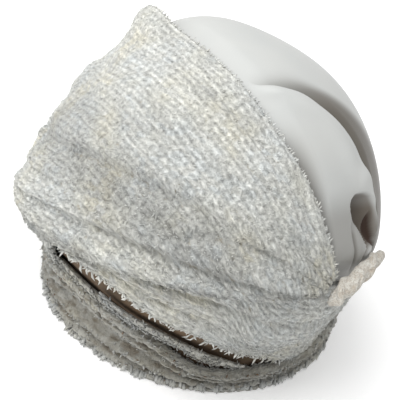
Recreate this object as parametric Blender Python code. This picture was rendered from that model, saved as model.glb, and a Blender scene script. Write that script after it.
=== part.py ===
"""A bouffant wrapped turban, resting on its rim.

A fan of pleated bouclé cloth springs from a gather above the wearer's left ear and covers the
front, a smooth cloth makes the puffed crown with one long fold and a curled pocket beside the
gather, a twisted end of cloth closes the gather, and a wound band makes the rim.

Metres, +Z up.  The wearer's front is -Y and the wearer's left is +X.  The rim lies on z = 0.
"""
import math

import bmesh
import bpy
import numpy as np
from mathutils import Vector

MM = 0.001

# The bouffant form that all the cloth follows: half an ellipsoid above the brow line, drawn in
# below it to an oval rim that sits a little behind and to the left of the crown's middle.
FORM_HALF_WIDTH = 0.116
FORM_HALF_DEPTH = 0.115
FORM_RISE = 0.123
BROW_LINE_Z = 0.069
DRAW_IN_DEPTH = 0.110
RIM_HALF_WIDTH = 0.0905
RIM_HALF_DEPTH = 0.106
RIM_SHIFT = (0.006, 0.018)
RIM_ELEVATION = -math.asin(BROW_LINE_Z / DRAW_IN_DEPTH)
DRAW_IN_FROM = 0.30

# Soft swellings and hollows of the whole form.
SWELLINGS = (
    # azimuth and elevation in degrees, height in mm, spread in degrees
    (-48.0, 29.0, -8.5, 18.0),
    (-56.0, 10.0, -6.3, 12.0),
    (-42.0, 0.0, -6.3, 12.0),
    (-95.0, 58.0, 5.0, 18.0),
    (170.0, 55.0, 1.5, 22.0),
    (-26.0, -14.0, 4.5, 17.0),
    (-27.0, -30.0, 6.5, 14.0),
    (112.0, -6.0, -3.2, 14.0),
    (104.0, -24.0, -1.5, 14.0),
)

# Cloth thicknesses and the layers' distances from the form, outwards positive.
CAP_OUT = -10.2 * MM
CAP_WALL = 1.5 * MM
CAP_RIM_Z = 0.002
BAND_INNER_OUT = -9.0 * MM
DRAPE_OUT = 0.2 * MM
DRAPE_WALL = 2.5 * MM
CROWN_UNDER_DRAPE = -3.9 * MM
CROWN_UNDER_WRAP = -7.6 * MM
CROWN_WALL = 1.6 * MM
WRAP_WALL = 3.0 * MM

# The gather above the wearer's left ear and its unseen twin on the right are the two ends of the
# chord that every pleat and fold runs between.
GATHER_AZIMUTH = 96.0
GATHER_ELEVATION = 14.0
# The shares of the way between the gathers where the cloth starts and ends.
PILE_UP_SHARES = (0.026, 0.977)

# The fan of cloth, from its top edge down to its low edge.
FAN_LINES = (
    # angle about the chord in degrees by the gather, at the brow and at the right
    (67.0, 62.0, 62.0),
    (63.5, 58.0, 56.0),
    (59.5, 53.0, 49.5),
    (55.5, 47.5, 42.0),
    (51.5, 41.5, 33.0),
    (47.5, 35.5, 24.5),
    (43.5, 29.5, 16.5),
    (39.8, 23.5, 8.0),
    (36.0, 17.8, 0.0),
    (32.0, 14.0, -4.0),
    (28.0, 10.5, -7.5),
    (24.5, 6.5, -11.0),
    (20.5, 2.5, -14.0),
    (15.5, -1.0, -17.0),
    (8.8, -2.8, -18.5),
    (4.8, -4.8, -20.5),
    (2.6, -7.2, -22.5),
    (0.6, -9.4, -24.5),
    (-1.5, -12.5, -28.0),
)
# How far across the head, as a share of its half-width, the three angles hold.
FAN_ACROSS = (0.90, 0.0, -0.60)
# The fan's pleats: the cloth swells up to each crest and falls back more steeply past it.
PLEATS = (
    # fan line of the crest by the gather, at the brow and at the right, height in mm, and how many
    # lines wide the swell above it and the fall below it are
    (1.2, 1.1, 1.0, 1.6, 0.9, 0.8),
    (3.5, 3.3, 3.2, 2.0, 1.1, 0.8),
    (5.4, 5.3, 5.3, 2.8, 1.2, 0.8),
    (9.8, 8.1, 7.1, 5.0, 1.7, 0.7),
    (11.2, 10.6, 10.2, 1.5, 1.1, 0.8),
    (13.6, 13.4, 13.1, 4.4, 1.6, 0.7),
    (16.8, 16.7, 15.2, 4.2, 1.5, 0.9),
)
FAN_ROWS_PER_LINE = 2
FAN_COLUMNS = 25
FAN_SETTLING_STEPS = 4
# The fan's top edge stands up in a peak on the wearer's right.
PEAK_ACROSS = -0.65
PEAK_ANGLE = 62.0
PEAK_HEIGHT = 13.0 * MM
PEAK_SPREAD_ACROSS = 0.17
PEAK_SPREAD_ANGLE = 9.0

# The smooth crown runs about the same chord, from under the fan over the top to the nape.
# Each row keeps its angle where the long fold fades out; the fold row bends to follow its lip.
CROWN_ANGLES = (46.0, 54.0, 60.0, 64.0, 68.0, 73.0, 79.0, 85.0, 90.0, 94.0, 97.0, 100.0, 105.0,
                110.0, 116.0, 122.0, 128.0, 134.0, 141.0, 148.0, 155.0, 162.0, 169.0, 176.0,
                182.0, 188.0, 194.0)
FOLD_ROW_ANGLE = 100.0
CROWN_COLUMNS = 31
CROWN_COLUMN_CROWDING = 1.35
CROWN_RISES_AFTER = 1.0
CROWN_RISES_OVER = 9.0
CROWN_TUCKS_BETWEEN = (172.0, 187.0)
# The long fold's lip, from the right over the top to where it passes the pocket.
FOLD_LIP = (
    # share of the half-width towards the wearer's left, angle about the chord, depth in mm
    (-1.00, 68.0, 0.0),
    (-0.40, 68.0, 0.0),
    (0.00, 68.0, 0.0),
    (0.10, 68.0, 0.5),
    (0.16, 69.5, 2.0),
    (0.22, 76.0, 4.0),
    (0.28, 84.0, 5.5),
    (0.36, 91.0, 7.0),
    (0.44, 99.5, 7.5),
    (0.54, 108.5, 7.5),
    (0.62, 114.0, 7.5),
    (0.68, 121.5, 7.0),
    (0.73, 134.0, 6.0),
    (0.78, 148.0, 3.0),
    (0.86, 155.0, 0.0),
    (0.95, 156.0, 0.0),
)
FOLD_LIP_WIDTH = 0.040
FOLD_GROOVE_WIDTH = 0.170
INNER_BULGE = 3.0 * MM
INNER_BULGE_BEHIND = 0.12
INNER_BULGE_SPREAD = 0.12

# The pocket curled into the crown beside the gather.
POCKET_AZIMUTH = 110.5
POCKET_ELEVATION = 30.5
POCKET_DEPTH = 13.0 * MM
POCKET_HALF_WIDTH = 5.5
POCKET_HALF_HEIGHT = 9.5
POCKET_LEAN = -12.0
POCKET_RIM_HEIGHT = 4.0 * MM
CAP_HOLLOW_DEPTH = 8.0 * MM
CAP_HOLLOW_SPREAD = 13.0

# The lower wrap starts under the fan at the front, goes round the wearer's left side and the
# back, covers the right-hand gather and ends tucked under the fan.
WRAP_STATIONS = (
    # azimuth in degrees, low edge and top edge elevations in degrees, distance from form in mm
    (2.0, 1.8, 4.5, -3.6),
    (9.0, 0.6, 7.0, -3.5),
    (20.0, 1.4, 10.2, -3.5),
    (30.0, 0.2, 12.6, -3.5),
    (42.0, -2.2, 14.8, -3.5),
    (55.0, -5.0, 16.2, -3.5),
    (63.0, -9.5, 16.6, -3.6),
    (70.0, -16.5, 16.8, -3.7),
    (77.0, -21.5, 16.8, -3.8),
    (86.0, -25.5, 16.4, -4.0),
    (93.0, -28.2, 15.4, -3.8),
    (99.0, -29.5, 13.8, -3.8),
    (105.0, -29.5, 12.7, -3.8),
    (120.0, -27.5, 11.0, -3.6),
    (150.0, -25.0, 7.0, -2.4),
    (180.0, -23.8, 4.5, -0.8),
    (210.0, -23.6, 6.5, 1.6),
    (240.0, -23.0, 14.0, 4.6),
    (259.0, -22.4, 19.0, 5.4),
    (274.0, -22.0, 14.0, 5.4),
    (290.0, -21.8, -6.0, 4.5),
    (303.0, -21.6, -15.0, 1.5),
    (312.0, -21.5, -15.5, -2.5),
    (322.0, -22.0, -11.0, -3.6),
    (332.0, -22.0, -7.0, -3.4),
    (343.0, -20.5, -3.5, -3.4),
    (349.0, -13.5, -1.5, -3.6),
    (354.0, -5.5, 0.0, -3.8),
    (358.0, 0.2, 2.2, -4.0),
)
WRAP_COLUMNS = 60
WRAP_COLUMN_CROWDING = 0.3
WRAP_ROWS = 7
WRAP_RIBS = 3
WRAP_RIB_HEIGHT = 1.2 * MM

# The wound band at the rim: its top edge is highest at the front.
BAND_TOP = (
    # azimuth in degrees, height in mm
    (-180.0, 22.5),
    (-90.0, 24.5),
    (-35.0, 25.5),
    (-15.0, 28.5),
    (-3.0, 37.0),
    (8.0, 41.0),
    (20.0, 39.0),
    (34.0, 33.0),
    (46.0, 23.0),
    (58.0, 14.5),
    (70.0, 13.0),
    (84.0, 13.5),
    (100.0, 13.0),
    (120.0, 17.0),
    (150.0, 21.0),
    (180.0, 22.5),
)
BAND_COLUMNS = 60
BAND_SECTION = (
    # share of the band's height, share of its thickness out from the inner face
    (0.00, 0.00),
    (0.00, 0.45),
    (0.00, 0.80),
    (0.10, 0.96),
    (0.28, 1.05),
    (0.52, 0.80),
    (0.74, 1.04),
    (0.91, 0.90),
    (1.00, 0.55),
    (0.97, 0.15),
    (0.60, 0.00),
)

# The twisted end of cloth that closes the gather and runs up and back over the crown's foot.
TAIL_PATH = (
    # azimuth and elevation in degrees, distance from form in mm, half-width in mm
    (93.2, 11.0, 2.4, 2.2),
    (94.2, 13.2, 4.7, 4.8),
    (95.6, 15.6, 6.1, 6.0),
    (98.4, 17.1, 6.7, 6.0),
    (102.0, 18.2, 6.6, 5.7),
    (106.0, 19.0, 6.5, 5.4),
    (110.1, 19.4, 6.3, 5.0),
    (114.2, 19.2, 6.2, 4.3),
    (117.6, 18.4, 6.2, 3.5),
    (119.8, 17.6, 6.3, 1.7),
)
TAIL_SIDES = 10
TAIL_STEPS = 15
TAIL_FLATNESS = 0.78
TAIL_TURNS = 1.4

CAP_SEGMENTS = 36
CAP_ELEVATIONS = (-30.0, -23.0, -16.0, -8.0, 2.0, 16.0, 33.0, 52.0, 71.0)

# Colours (linear), roughness of each cloth.
CLOTHS = {
    "under_cap": ((0.085, 0.045, 0.024, 1.0), 0.90),
    "brow_band": ((0.60, 0.59, 0.55, 1.0), 0.95),
    "lower_wrap": ((0.62, 0.61, 0.57, 1.0), 0.95),
    "front_drape": ((0.72, 0.71, 0.66, 1.0), 0.95),
    "crown": ((0.76, 0.76, 0.74, 1.0), 0.62),
    "twisted_tail": ((0.72, 0.67, 0.58, 1.0), 0.85),
}


def direction(azimuth, elevation):
    """Unit vectors from azimuths (0 at the front, positive to the wearer's left) in degrees."""
    azimuth = np.radians(azimuth)
    elevation = np.radians(elevation)
    level = np.cos(elevation)
    return np.stack([np.sin(azimuth) * level, -np.cos(azimuth) * level,
                     np.sin(elevation) + 0 * azimuth], axis=-1)


def smoothstep(low, high, value):
    """0 below low, 1 above high, with a soft start and end."""
    share = np.clip((value - low) / (high - low), 0.0, 1.0)
    return share * share * (3.0 - 2.0 * share)


def curve_through(stations, column, where):
    """A smooth curve through one column of a table whose first column is the station."""
    table = np.array(stations)
    x = table[:, 0]
    y = table[:, column]
    slope = np.gradient(y, x)
    where = np.clip(where, x[0], x[-1])
    index = np.clip(np.searchsorted(x, where) - 1, 0, len(x) - 2)
    span = x[index + 1] - x[index]
    share = (where - x[index]) / span
    rest = 1.0 - share
    return (y[index] * rest * rest * (1.0 + 2.0 * share)
            + y[index + 1] * share * share * (1.0 + 2.0 * rest)
            + span * share * rest * (slope[index] * rest - slope[index + 1] * share))


def angle_between(unit, azimuth, elevation):
    """Angles in degrees between unit vectors and one direction."""
    return np.degrees(np.arccos(np.clip(unit @ direction(azimuth, elevation), -1.0, 1.0)))


def form_point(unit, out):
    """The point at distance out from the bouffant form, in the direction of a unit vector."""
    swelling = np.zeros(unit.shape[:-1])
    for azimuth, elevation, height, spread in SWELLINGS:
        away = angle_between(unit, azimuth, elevation) / spread
        swelling = swelling + height * MM * np.exp(-away * away)
    out = out + swelling * smoothstep(math.sin(RIM_ELEVATION) - 0.15, -0.25, unit[..., 2])
    level = np.sqrt(np.clip(1.0 - unit[..., 2] ** 2, 0.0, 1.0))
    below = unit[..., 2] < 0.0
    height_share = 1.0 + np.minimum(unit[..., 2], 0.0) * DRAW_IN_DEPTH / BROW_LINE_Z
    share = smoothstep(DRAW_IN_FROM, 1.0, height_share)
    half_width = RIM_HALF_WIDTH + (FORM_HALF_WIDTH - RIM_HALF_WIDTH) * share + out
    half_depth = RIM_HALF_DEPTH + (FORM_HALF_DEPTH - RIM_HALF_DEPTH) * share + out
    across = np.where(below, unit[..., 0] / np.maximum(level, 1e-9), unit[..., 0])
    along = np.where(below, unit[..., 1] / np.maximum(level, 1e-9), unit[..., 1])
    rise = np.where(below, DRAW_IN_DEPTH, FORM_RISE + out)
    return np.stack([RIM_SHIFT[0] * (1.0 - share) + half_width * across,
                     RIM_SHIFT[1] * (1.0 - share) + half_depth * along,
                     BROW_LINE_Z + rise * unit[..., 2]], axis=-1)


GATHER = direction(GATHER_AZIMUTH, GATHER_ELEVATION)
CHORD_BACK = float(GATHER[1])
CHORD_UP = float(GATHER[2])


def chord_arc(angle, turn_share):
    """Unit vectors on the arcs between the two gathers.

    angle is the arc's plane about the chord in degrees, 0 level to the front and 90 upright.
    turn_share runs from 0 at the left gather to 1 at the right one.
    """
    swing = np.radians(angle)
    reach = -CHORD_BACK * np.cos(swing) + CHORD_UP * np.sin(swing)
    radius = np.sqrt(1.0 - CHORD_BACK ** 2 - CHORD_UP ** 2 + reach ** 2)
    start = np.arcsin(reach / radius)
    turn = start + (math.pi - 2.0 * start) * turn_share
    away = radius * np.sin(turn) - reach
    return np.stack([radius * np.cos(turn), CHORD_BACK - away * np.cos(swing),
                     CHORD_UP + away * np.sin(swing)], axis=-1)


def distance_from_chord(unit):
    """How far unit vectors are from the chord, as a share of the form's size."""
    return np.hypot(unit[..., 1] - CHORD_BACK, unit[..., 2] - CHORD_UP)


def across_head(at_gather, at_brow, at_right, across):
    """A parabola across the head through its values by the gather, at the brow and at the right."""
    left, middle, right = FAN_ACROSS
    across = np.clip(across, right, left)
    return (at_gather * (across - middle) * (across - right) / ((left - middle) * (left - right))
            + at_brow * (across - left) * (across - right) / ((middle - left) * (middle - right))
            + at_right * (across - left) * (across - middle) / ((right - left) * (right - middle)))


def fan_direction(at_gather, at_brow, at_right, turn_share):
    """A fan line's unit vectors: each line hangs lower towards the wearer's right."""
    unit = chord_arc(at_brow + 0 * turn_share, turn_share)
    for _ in range(FAN_SETTLING_STEPS):
        unit = chord_arc(across_head(at_gather, at_brow, at_right, unit[..., 0]), turn_share)
    return unit


def new_object(name, mesh_builder):
    """One object of one sub-part, with its own material, shaded smooth."""
    builder = bmesh.new()
    mesh_builder(builder)
    mesh = bpy.data.meshes.new(name)
    builder.to_mesh(mesh)
    builder.free()
    colour, roughness = CLOTHS[name]
    material = bpy.data.materials.new(name)
    material.use_nodes = True
    shader = material.node_tree.nodes["Principled BSDF"]
    shader.inputs["Base Color"].default_value = colour
    shader.inputs["Roughness"].default_value = roughness
    shader.inputs["Metallic"].default_value = 0.0
    mesh.materials.append(material)
    piece = bpy.data.objects.new(name, mesh)
    bpy.context.scene.collection.objects.link(piece)
    mesh.shade_smooth()
    return piece


def add_grid(builder, points):
    """Vertices of a grid of points, as rows of bmesh vertices."""
    return [[builder.verts.new(Vector(point)) for point in row] for row in points]


def add_faces(builder, rows, turned):
    """Quads between neighbouring rows of vertices."""
    for low, high in zip(rows, rows[1:]):
        for i in range(len(low) - 1):
            corners = [low[i], low[i + 1], high[i + 1], high[i]]
            builder.faces.new(corners[::-1] if turned else corners)


def cloth_wall(outer, inner):
    """A builder of a closed wall of cloth between an outer and an inner grid of points."""
    def build(builder):
        skin = add_grid(builder, outer)
        lining = add_grid(builder, inner)
        add_faces(builder, skin, False)
        add_faces(builder, lining, True)
        for edge_out, edge_in in ((skin[0], lining[0]), (skin[-1], lining[-1]),
                                  ([row[0] for row in skin], [row[0] for row in lining]),
                                  ([row[-1] for row in skin], [row[-1] for row in lining])):
            add_faces(builder, [edge_out, edge_in], False)
        bmesh.ops.recalc_face_normals(builder, faces=builder.faces[:])
    return build


def closed_loft(sections, capped):
    """A builder of a solid through closed sections, capped at its ends or joined in a ring."""
    def build(builder):
        rings = [[builder.verts.new(Vector(point)) for point in section] for section in sections]
        pairs = list(zip(rings, rings[1:]))
        if not capped:
            pairs.append((rings[-1], rings[0]))
        for low, high in pairs:
            add_faces(builder, [low + low[:1], high + high[:1]], False)
        if capped:
            builder.faces.new(rings[0])
            builder.faces.new(rings[-1])
        bmesh.ops.recalc_face_normals(builder, faces=builder.faces[:])
    return build


def cap_out(unit):
    """The cap's distance from the form: it is hollowed behind the crown's pocket."""
    away = angle_between(unit, POCKET_AZIMUTH, POCKET_ELEVATION) / CAP_HOLLOW_SPREAD
    return CAP_OUT - CAP_HOLLOW_DEPTH * np.exp(-away * away)


def make_under_cap():
    """The thin domed cap that carries the cloth, open below for the head."""
    low = math.degrees(math.asin((CAP_RIM_Z - BROW_LINE_Z) / DRAW_IN_DEPTH))
    azimuth = np.linspace(-180.0, 180.0, CAP_SEGMENTS, endpoint=False)
    elevation = np.array((low,) + CAP_ELEVATIONS)
    unit = direction(azimuth[None, :], elevation[:, None])
    top = np.array([0.0, 0.0, 1.0])

    def build(builder):
        tops = []
        walls = []
        for inward in (0.0, CAP_WALL):
            rows = add_grid(builder, form_point(unit, cap_out(unit) - inward))
            tops.append(builder.verts.new(Vector(form_point(top, cap_out(top) - inward))))
            walls.append([row + row[:1] for row in rows])
        for rows, pole, turned in zip(walls, tops, (False, True)):
            add_faces(builder, rows, turned)
            for a, b in zip(rows[-1], rows[-1][1:]):
                builder.faces.new([b, a, pole] if turned else [a, b, pole])
        add_faces(builder, [walls[1][0], walls[0][0]], False)
        bmesh.ops.recalc_face_normals(builder, faces=builder.faces[:])

    return new_object("under_cap", build)


def make_brow_band():
    """The wound band at the rim, a closed ring with a flat underside."""
    azimuth = np.linspace(-180.0, 180.0, BAND_COLUMNS, endpoint=False)
    top = curve_through(BAND_TOP, 1, azimuth) * MM
    height_share, out_share = np.array(BAND_SECTION).T
    z = top[:, None] * height_share[None, :]
    elevation = np.degrees(np.arcsin((z - BROW_LINE_Z) / DRAW_IN_DEPTH))
    out = BAND_INNER_OUT * (1.0 - out_share[None, :]) + 0 * z
    unit = direction(azimuth[:, None], elevation)
    return new_object("brow_band", closed_loft(form_point(unit, out), capped=False))


def make_lower_wrap():
    """The ribbed wrap between the band and the crown, one long strip round the head."""
    stations = np.array(WRAP_STATIONS)
    place = np.linspace(0.0, 1.0, WRAP_COLUMNS)
    place = place - WRAP_COLUMN_CROWDING * np.sin(2.0 * math.pi * place) / (2.0 * math.pi)
    azimuth = stations[0, 0] + (stations[-1, 0] - stations[0, 0]) * place
    low = curve_through(stations, 1, azimuth)
    high = curve_through(stations, 2, azimuth)
    rest = curve_through(stations, 3, azimuth) * MM
    share = np.linspace(0.0, 1.0, WRAP_ROWS)[:, None]
    unit = direction(azimuth[None, :] + 0 * share, low + (high - low) * share)
    rib = np.abs(np.sin(math.pi * WRAP_RIBS * share))
    ends = smoothstep(0.0, 0.1, place) * smoothstep(0.0, 0.1, 1.0 - place)
    out = rest - WRAP_RIB_HEIGHT * (1.0 - rib) * ends
    outer = form_point(unit, out)
    inner = form_point(unit, rest + 0 * share - WRAP_WALL)
    return new_object("lower_wrap", cloth_wall(outer, inner))


def fan_lift(unit, angle, line):
    """How far the fan stands off: its pleats die out at both gathers, its top edge peaks."""
    height = np.zeros(unit.shape[:-1])
    for *crest, rise, swell, fall in PLEATS:
        past = line - across_head(*crest, unit[..., 0])
        height = height + rise * MM * np.exp(-(past / np.where(past < 0.0, swell, fall)) ** 2)
    near = distance_from_chord(unit)
    left = smoothstep(0.06, 0.40, near)
    right = smoothstep(0.10, 0.62, near)
    across = (unit[..., 0] - PEAK_ACROSS) / PEAK_SPREAD_ACROSS
    up = (angle - PEAK_ANGLE) / PEAK_SPREAD_ANGLE
    return (height * np.where(unit[..., 0] > 0.0, left, right)
            + PEAK_HEIGHT * np.exp(-across * across - up * up))


def make_front_drape():
    """The pleated fan that springs from the left gather and covers the front."""
    lines = np.array(FAN_LINES)
    numbered = np.column_stack([np.arange(len(lines)), lines])
    row = np.linspace(0, len(lines) - 1, FAN_ROWS_PER_LINE * (len(lines) - 1) + 1)[:, None]
    angles = [curve_through(numbered, column, row) for column in (1, 2, 3)]
    turn_share = np.linspace(*PILE_UP_SHARES, FAN_COLUMNS)[None, :]
    unit = fan_direction(*angles, turn_share)
    out = DRAPE_OUT + fan_lift(unit, angles[1], row)
    outer = form_point(unit, out)
    inner = form_point(unit, out - DRAPE_WALL)
    return new_object("front_drape", cloth_wall(outer, inner))


def pocket_shape(unit):
    """The pocket's hollow and its rolled rim, in metres outwards."""
    centre = direction(POCKET_AZIMUTH, POCKET_ELEVATION)
    side = direction(POCKET_AZIMUTH + 90.0, 0.0)
    up = np.cross(side, centre)
    lean = math.radians(POCKET_LEAN)
    along = np.degrees((unit @ up) * math.cos(lean) + (unit @ side) * math.sin(lean))
    across = np.degrees((unit @ side) * math.cos(lean) - (unit @ up) * math.sin(lean))
    front = unit @ centre > 0.5
    away = np.hypot(across / POCKET_HALF_WIDTH, along / POCKET_HALF_HEIGHT)
    hollow = -POCKET_DEPTH * (1.0 - smoothstep(0.20, 1.25, away))
    rim = POCKET_RIM_HEIGHT * np.exp(-((away - 1.45) / 0.38) ** 2) * smoothstep(-4.0, 3.0, across)
    rim = rim * smoothstep(0.22, 0.48, distance_from_chord(unit))
    return np.where(front, hollow + rim, 0.0)


def crown_out(unit, angle):
    """The crown's distance from the form: tucked at both edges, folded between them."""
    across = unit[..., 0]
    near = distance_from_chord(unit)
    lip = curve_through(FOLD_LIP, 1, across)
    depth = np.clip(curve_through(FOLD_LIP, 2, across), 0.0, None) * MM
    past = np.radians(angle - lip) * near
    groove = (smoothstep(-FOLD_LIP_WIDTH, 0.0, past)
              * (1.0 - smoothstep(0.0, FOLD_GROOVE_WIDTH, past)))
    inside = (past + INNER_BULGE_BEHIND) / INNER_BULGE_SPREAD
    bulge = INNER_BULGE * np.exp(-inside * inside) * smoothstep(0.0, 0.35, across)
    folded = bulge - depth * groove
    fan_edge = across_head(*FAN_LINES[0], across)
    rises = smoothstep(0.0, CROWN_RISES_OVER, angle - fan_edge - CROWN_RISES_AFTER)
    out = CROWN_UNDER_DRAPE * (1.0 - rises) + folded * rises
    out = CROWN_UNDER_DRAPE + (out - CROWN_UNDER_DRAPE) * smoothstep(0.05, 0.28, near)
    out = out + pocket_shape(unit) * smoothstep(0.05, 0.20, near)
    tucks = np.maximum(smoothstep(*CROWN_TUCKS_BETWEEN, angle), 1.0 - smoothstep(0.08, 0.15, near))
    return out + (CROWN_UNDER_WRAP - out) * tucks


def crown_row_angle(row_angle, across):
    """A row's angle about the chord: the rows spread apart on both sides of the fold's lip."""
    lip = curve_through(FOLD_LIP, 1, across)
    first, last = CROWN_ANGLES[0], CROWN_ANGLES[-1]
    before = first + (row_angle - first) * (lip - first) / (FOLD_ROW_ANGLE - first)
    after = last - (last - row_angle) * (last - lip) / (last - FOLD_ROW_ANGLE)
    return np.where(row_angle < FOLD_ROW_ANGLE, before, after)


def make_crown():
    """The smooth puffed crown, from under the fan's top edge to under the wrap at the nape."""
    row_angle = np.array(CROWN_ANGLES)[:, None]
    first, last = PILE_UP_SHARES
    spread = np.linspace(0.0, 1.0, CROWN_COLUMNS)[None, :] ** CROWN_COLUMN_CROWDING
    turn_share = first + (last - first) * spread
    angle = row_angle + 0 * turn_share
    for _ in range(FAN_SETTLING_STEPS):
        angle = crown_row_angle(row_angle, chord_arc(angle, turn_share)[..., 0])
    unit = chord_arc(angle, turn_share)
    out = crown_out(unit, angle)
    outer = form_point(unit, out)
    inner = form_point(unit, out - CROWN_WALL)
    return new_object("crown", cloth_wall(outer, inner))


def make_twisted_tail():
    """The twisted end of cloth, an oval that turns as it runs from its root to its tip."""
    table = np.array(TAIL_PATH)
    numbered = np.column_stack([np.arange(len(table)), table])
    place = np.linspace(0, len(table) - 1, TAIL_STEPS)
    azimuth, elevation, out, half_width = [curve_through(numbered, column, place)
                                           for column in (1, 2, 3, 4)]
    outwards = direction(azimuth, elevation)
    path = form_point(outwards, out * MM)
    round_section = np.arange(TAIL_SIDES) * 2.0 * math.pi / TAIL_SIDES
    sections = []
    for i, centre in enumerate(path):
        ahead = path[min(i + 1, TAIL_STEPS - 1)] - path[max(i - 1, 0)]
        side = np.cross(ahead, outwards[i])
        side = side / np.linalg.norm(side)
        away = np.cross(side, ahead / np.linalg.norm(ahead))
        turn = 2.0 * math.pi * TAIL_TURNS * i / (TAIL_STEPS - 1)
        wide = half_width[i] * MM * np.cos(round_section)
        flat = half_width[i] * MM * TAIL_FLATNESS * np.sin(round_section)
        sections.append([centre
                         + side * (w * math.cos(turn) - f * math.sin(turn))
                         + away * (w * math.sin(turn) + f * math.cos(turn))
                         for w, f in zip(wide, flat)])
    return new_object("twisted_tail", closed_loft(sections, capped=True))


def centre_on_origin(pieces):
    """Slide all pieces together so that the middle of their box stands over the origin."""
    corners = np.array([vertex.co[:] for piece in pieces for vertex in piece.data.vertices])
    middle = (corners.min(axis=0) + corners.max(axis=0)) / 2.0
    for piece in pieces:
        for vertex in piece.data.vertices:
            vertex.co.x -= middle[0]
            vertex.co.y -= middle[1]


def main():
    for old in list(bpy.data.objects):
        bpy.data.objects.remove(old, do_unlink=True)
    pieces = [make_under_cap(), make_brow_band(), make_lower_wrap(), make_front_drape(),
              make_crown(), make_twisted_tail()]
    centre_on_origin(pieces)


main()
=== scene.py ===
"""Looks of the bouffant wrapped turban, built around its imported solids.

The shapes follow the same form, chord and tables as the solids, on finer grids. The tufted cloth
carries rows of soft clumps and cut ends of yarn. The crown is smooth cloth.
"""
import math
from collections import namedtuple
from functools import partial

import bmesh
import bpy
import numpy as np
from mathutils import Matrix, Vector
from mathutils.kdtree import KDTree


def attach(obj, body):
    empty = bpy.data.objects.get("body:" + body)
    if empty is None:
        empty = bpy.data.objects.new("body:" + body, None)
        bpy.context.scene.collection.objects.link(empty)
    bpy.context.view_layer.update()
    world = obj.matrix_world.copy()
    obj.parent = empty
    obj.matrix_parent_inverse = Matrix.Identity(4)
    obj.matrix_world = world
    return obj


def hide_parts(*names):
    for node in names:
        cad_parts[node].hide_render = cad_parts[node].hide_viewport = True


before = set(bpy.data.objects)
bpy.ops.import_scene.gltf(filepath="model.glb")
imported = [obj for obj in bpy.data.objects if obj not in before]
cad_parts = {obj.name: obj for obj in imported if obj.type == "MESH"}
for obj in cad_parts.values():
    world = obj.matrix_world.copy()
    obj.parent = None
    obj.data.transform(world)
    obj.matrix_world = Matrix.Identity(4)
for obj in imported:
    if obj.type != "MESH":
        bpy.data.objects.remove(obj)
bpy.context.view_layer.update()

MM = 0.001

# How far the solids were slid to stand their box over the origin.
SLIDE = np.array([0.00100042, 0.00268434, 0.0])

# The bouffant form: half its width and half its depth at the brow line and at the rim, and how far
# the rim's middle is shifted.
FORM_HALVES = (0.116, 0.115)
RIM_HALVES = (0.0905, 0.106)
RIM_SHIFT = (0.006, 0.018)
FORM_RISE = 0.123
BROW_LINE_Z = 0.069
DRAW_IN_DEPTH = 0.110
DRAW_IN_FROM = 0.30
# The sines of the elevations between which the swellings come in.
SWELLINGS_START = (-BROW_LINE_Z / DRAW_IN_DEPTH - 0.15, -0.25)
SWELLINGS = (
    # azimuth and elevation in degrees, height in mm, spread in degrees
    (-48.0, 29.0, -8.5, 18.0),
    (-56.0, 10.0, -6.3, 12.0),
    (-42.0, 0.0, -6.3, 12.0),
    (-95.0, 58.0, 5.0, 18.0),
    (170.0, 55.0, 1.5, 22.0),
    (-26.0, -14.0, 4.5, 17.0),
    (-27.0, -30.0, 6.5, 14.0),
    (112.0, -6.0, -3.2, 14.0),
    (104.0, -24.0, -1.5, 14.0),
)

CAP_OUT = -10.2 * MM
CAP_WALL = 1.5 * MM
BAND_INNER_OUT = -9.0 * MM
DRAPE_OUT = 0.2 * MM
DRAPE_WALL = 2.5 * MM
CROWN_UNDER_DRAPE = -3.9 * MM
CROWN_UNDER_WRAP = -7.6 * MM
CROWN_WALL = 1.6 * MM
WRAP_WALL = 3.0 * MM

GATHER_AZIMUTH = 96.0
GATHER_ELEVATION = 14.0
PILE_UP_SHARES = (0.026, 0.977)

# The fan of cloth, from its top edge down to its low edge.
FAN_LINES = (
    # angle about the chord in degrees by the gather, at the brow and at the right
    (67.0, 62.0, 62.0),
    (63.5, 58.0, 56.0),
    (59.5, 53.0, 49.5),
    (55.5, 47.5, 42.0),
    (51.5, 41.5, 33.0),
    (47.5, 35.5, 24.5),
    (43.5, 29.5, 16.5),
    (39.8, 23.5, 8.0),
    (36.0, 17.8, 0.0),
    (32.0, 14.0, -4.0),
    (28.0, 10.5, -7.5),
    (24.5, 6.5, -11.0),
    (20.5, 2.5, -14.0),
    (15.5, -1.0, -17.0),
    (8.8, -2.8, -18.5),
    (4.8, -4.8, -20.5),
    (2.6, -7.2, -22.5),
    (0.6, -9.4, -24.5),
    (-1.5, -12.5, -28.0),
)
# How far across the head, as a share of its half-width, the three angles hold.
FAN_ACROSS = (0.90, 0.0, -0.60)
# The fan's pleats: the cloth swells up to each crest and falls back more steeply past it.
PLEATS = (
    # fan line of the crest by the gather, at the brow and at the right, height in mm, and how many
    # lines wide the swell above it and the fall below it are
    (1.2, 1.1, 1.0, 1.6, 0.9, 0.8),
    (3.5, 3.3, 3.2, 2.0, 1.1, 0.8),
    (5.4, 5.3, 5.3, 2.8, 1.2, 0.8),
    (9.8, 8.1, 7.1, 5.0, 1.7, 0.7),
    (11.2, 10.6, 10.2, 1.5, 1.1, 0.8),
    (13.6, 13.4, 13.1, 4.4, 1.6, 0.7),
    (16.8, 16.7, 15.2, 4.2, 1.5, 0.9),
)
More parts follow.
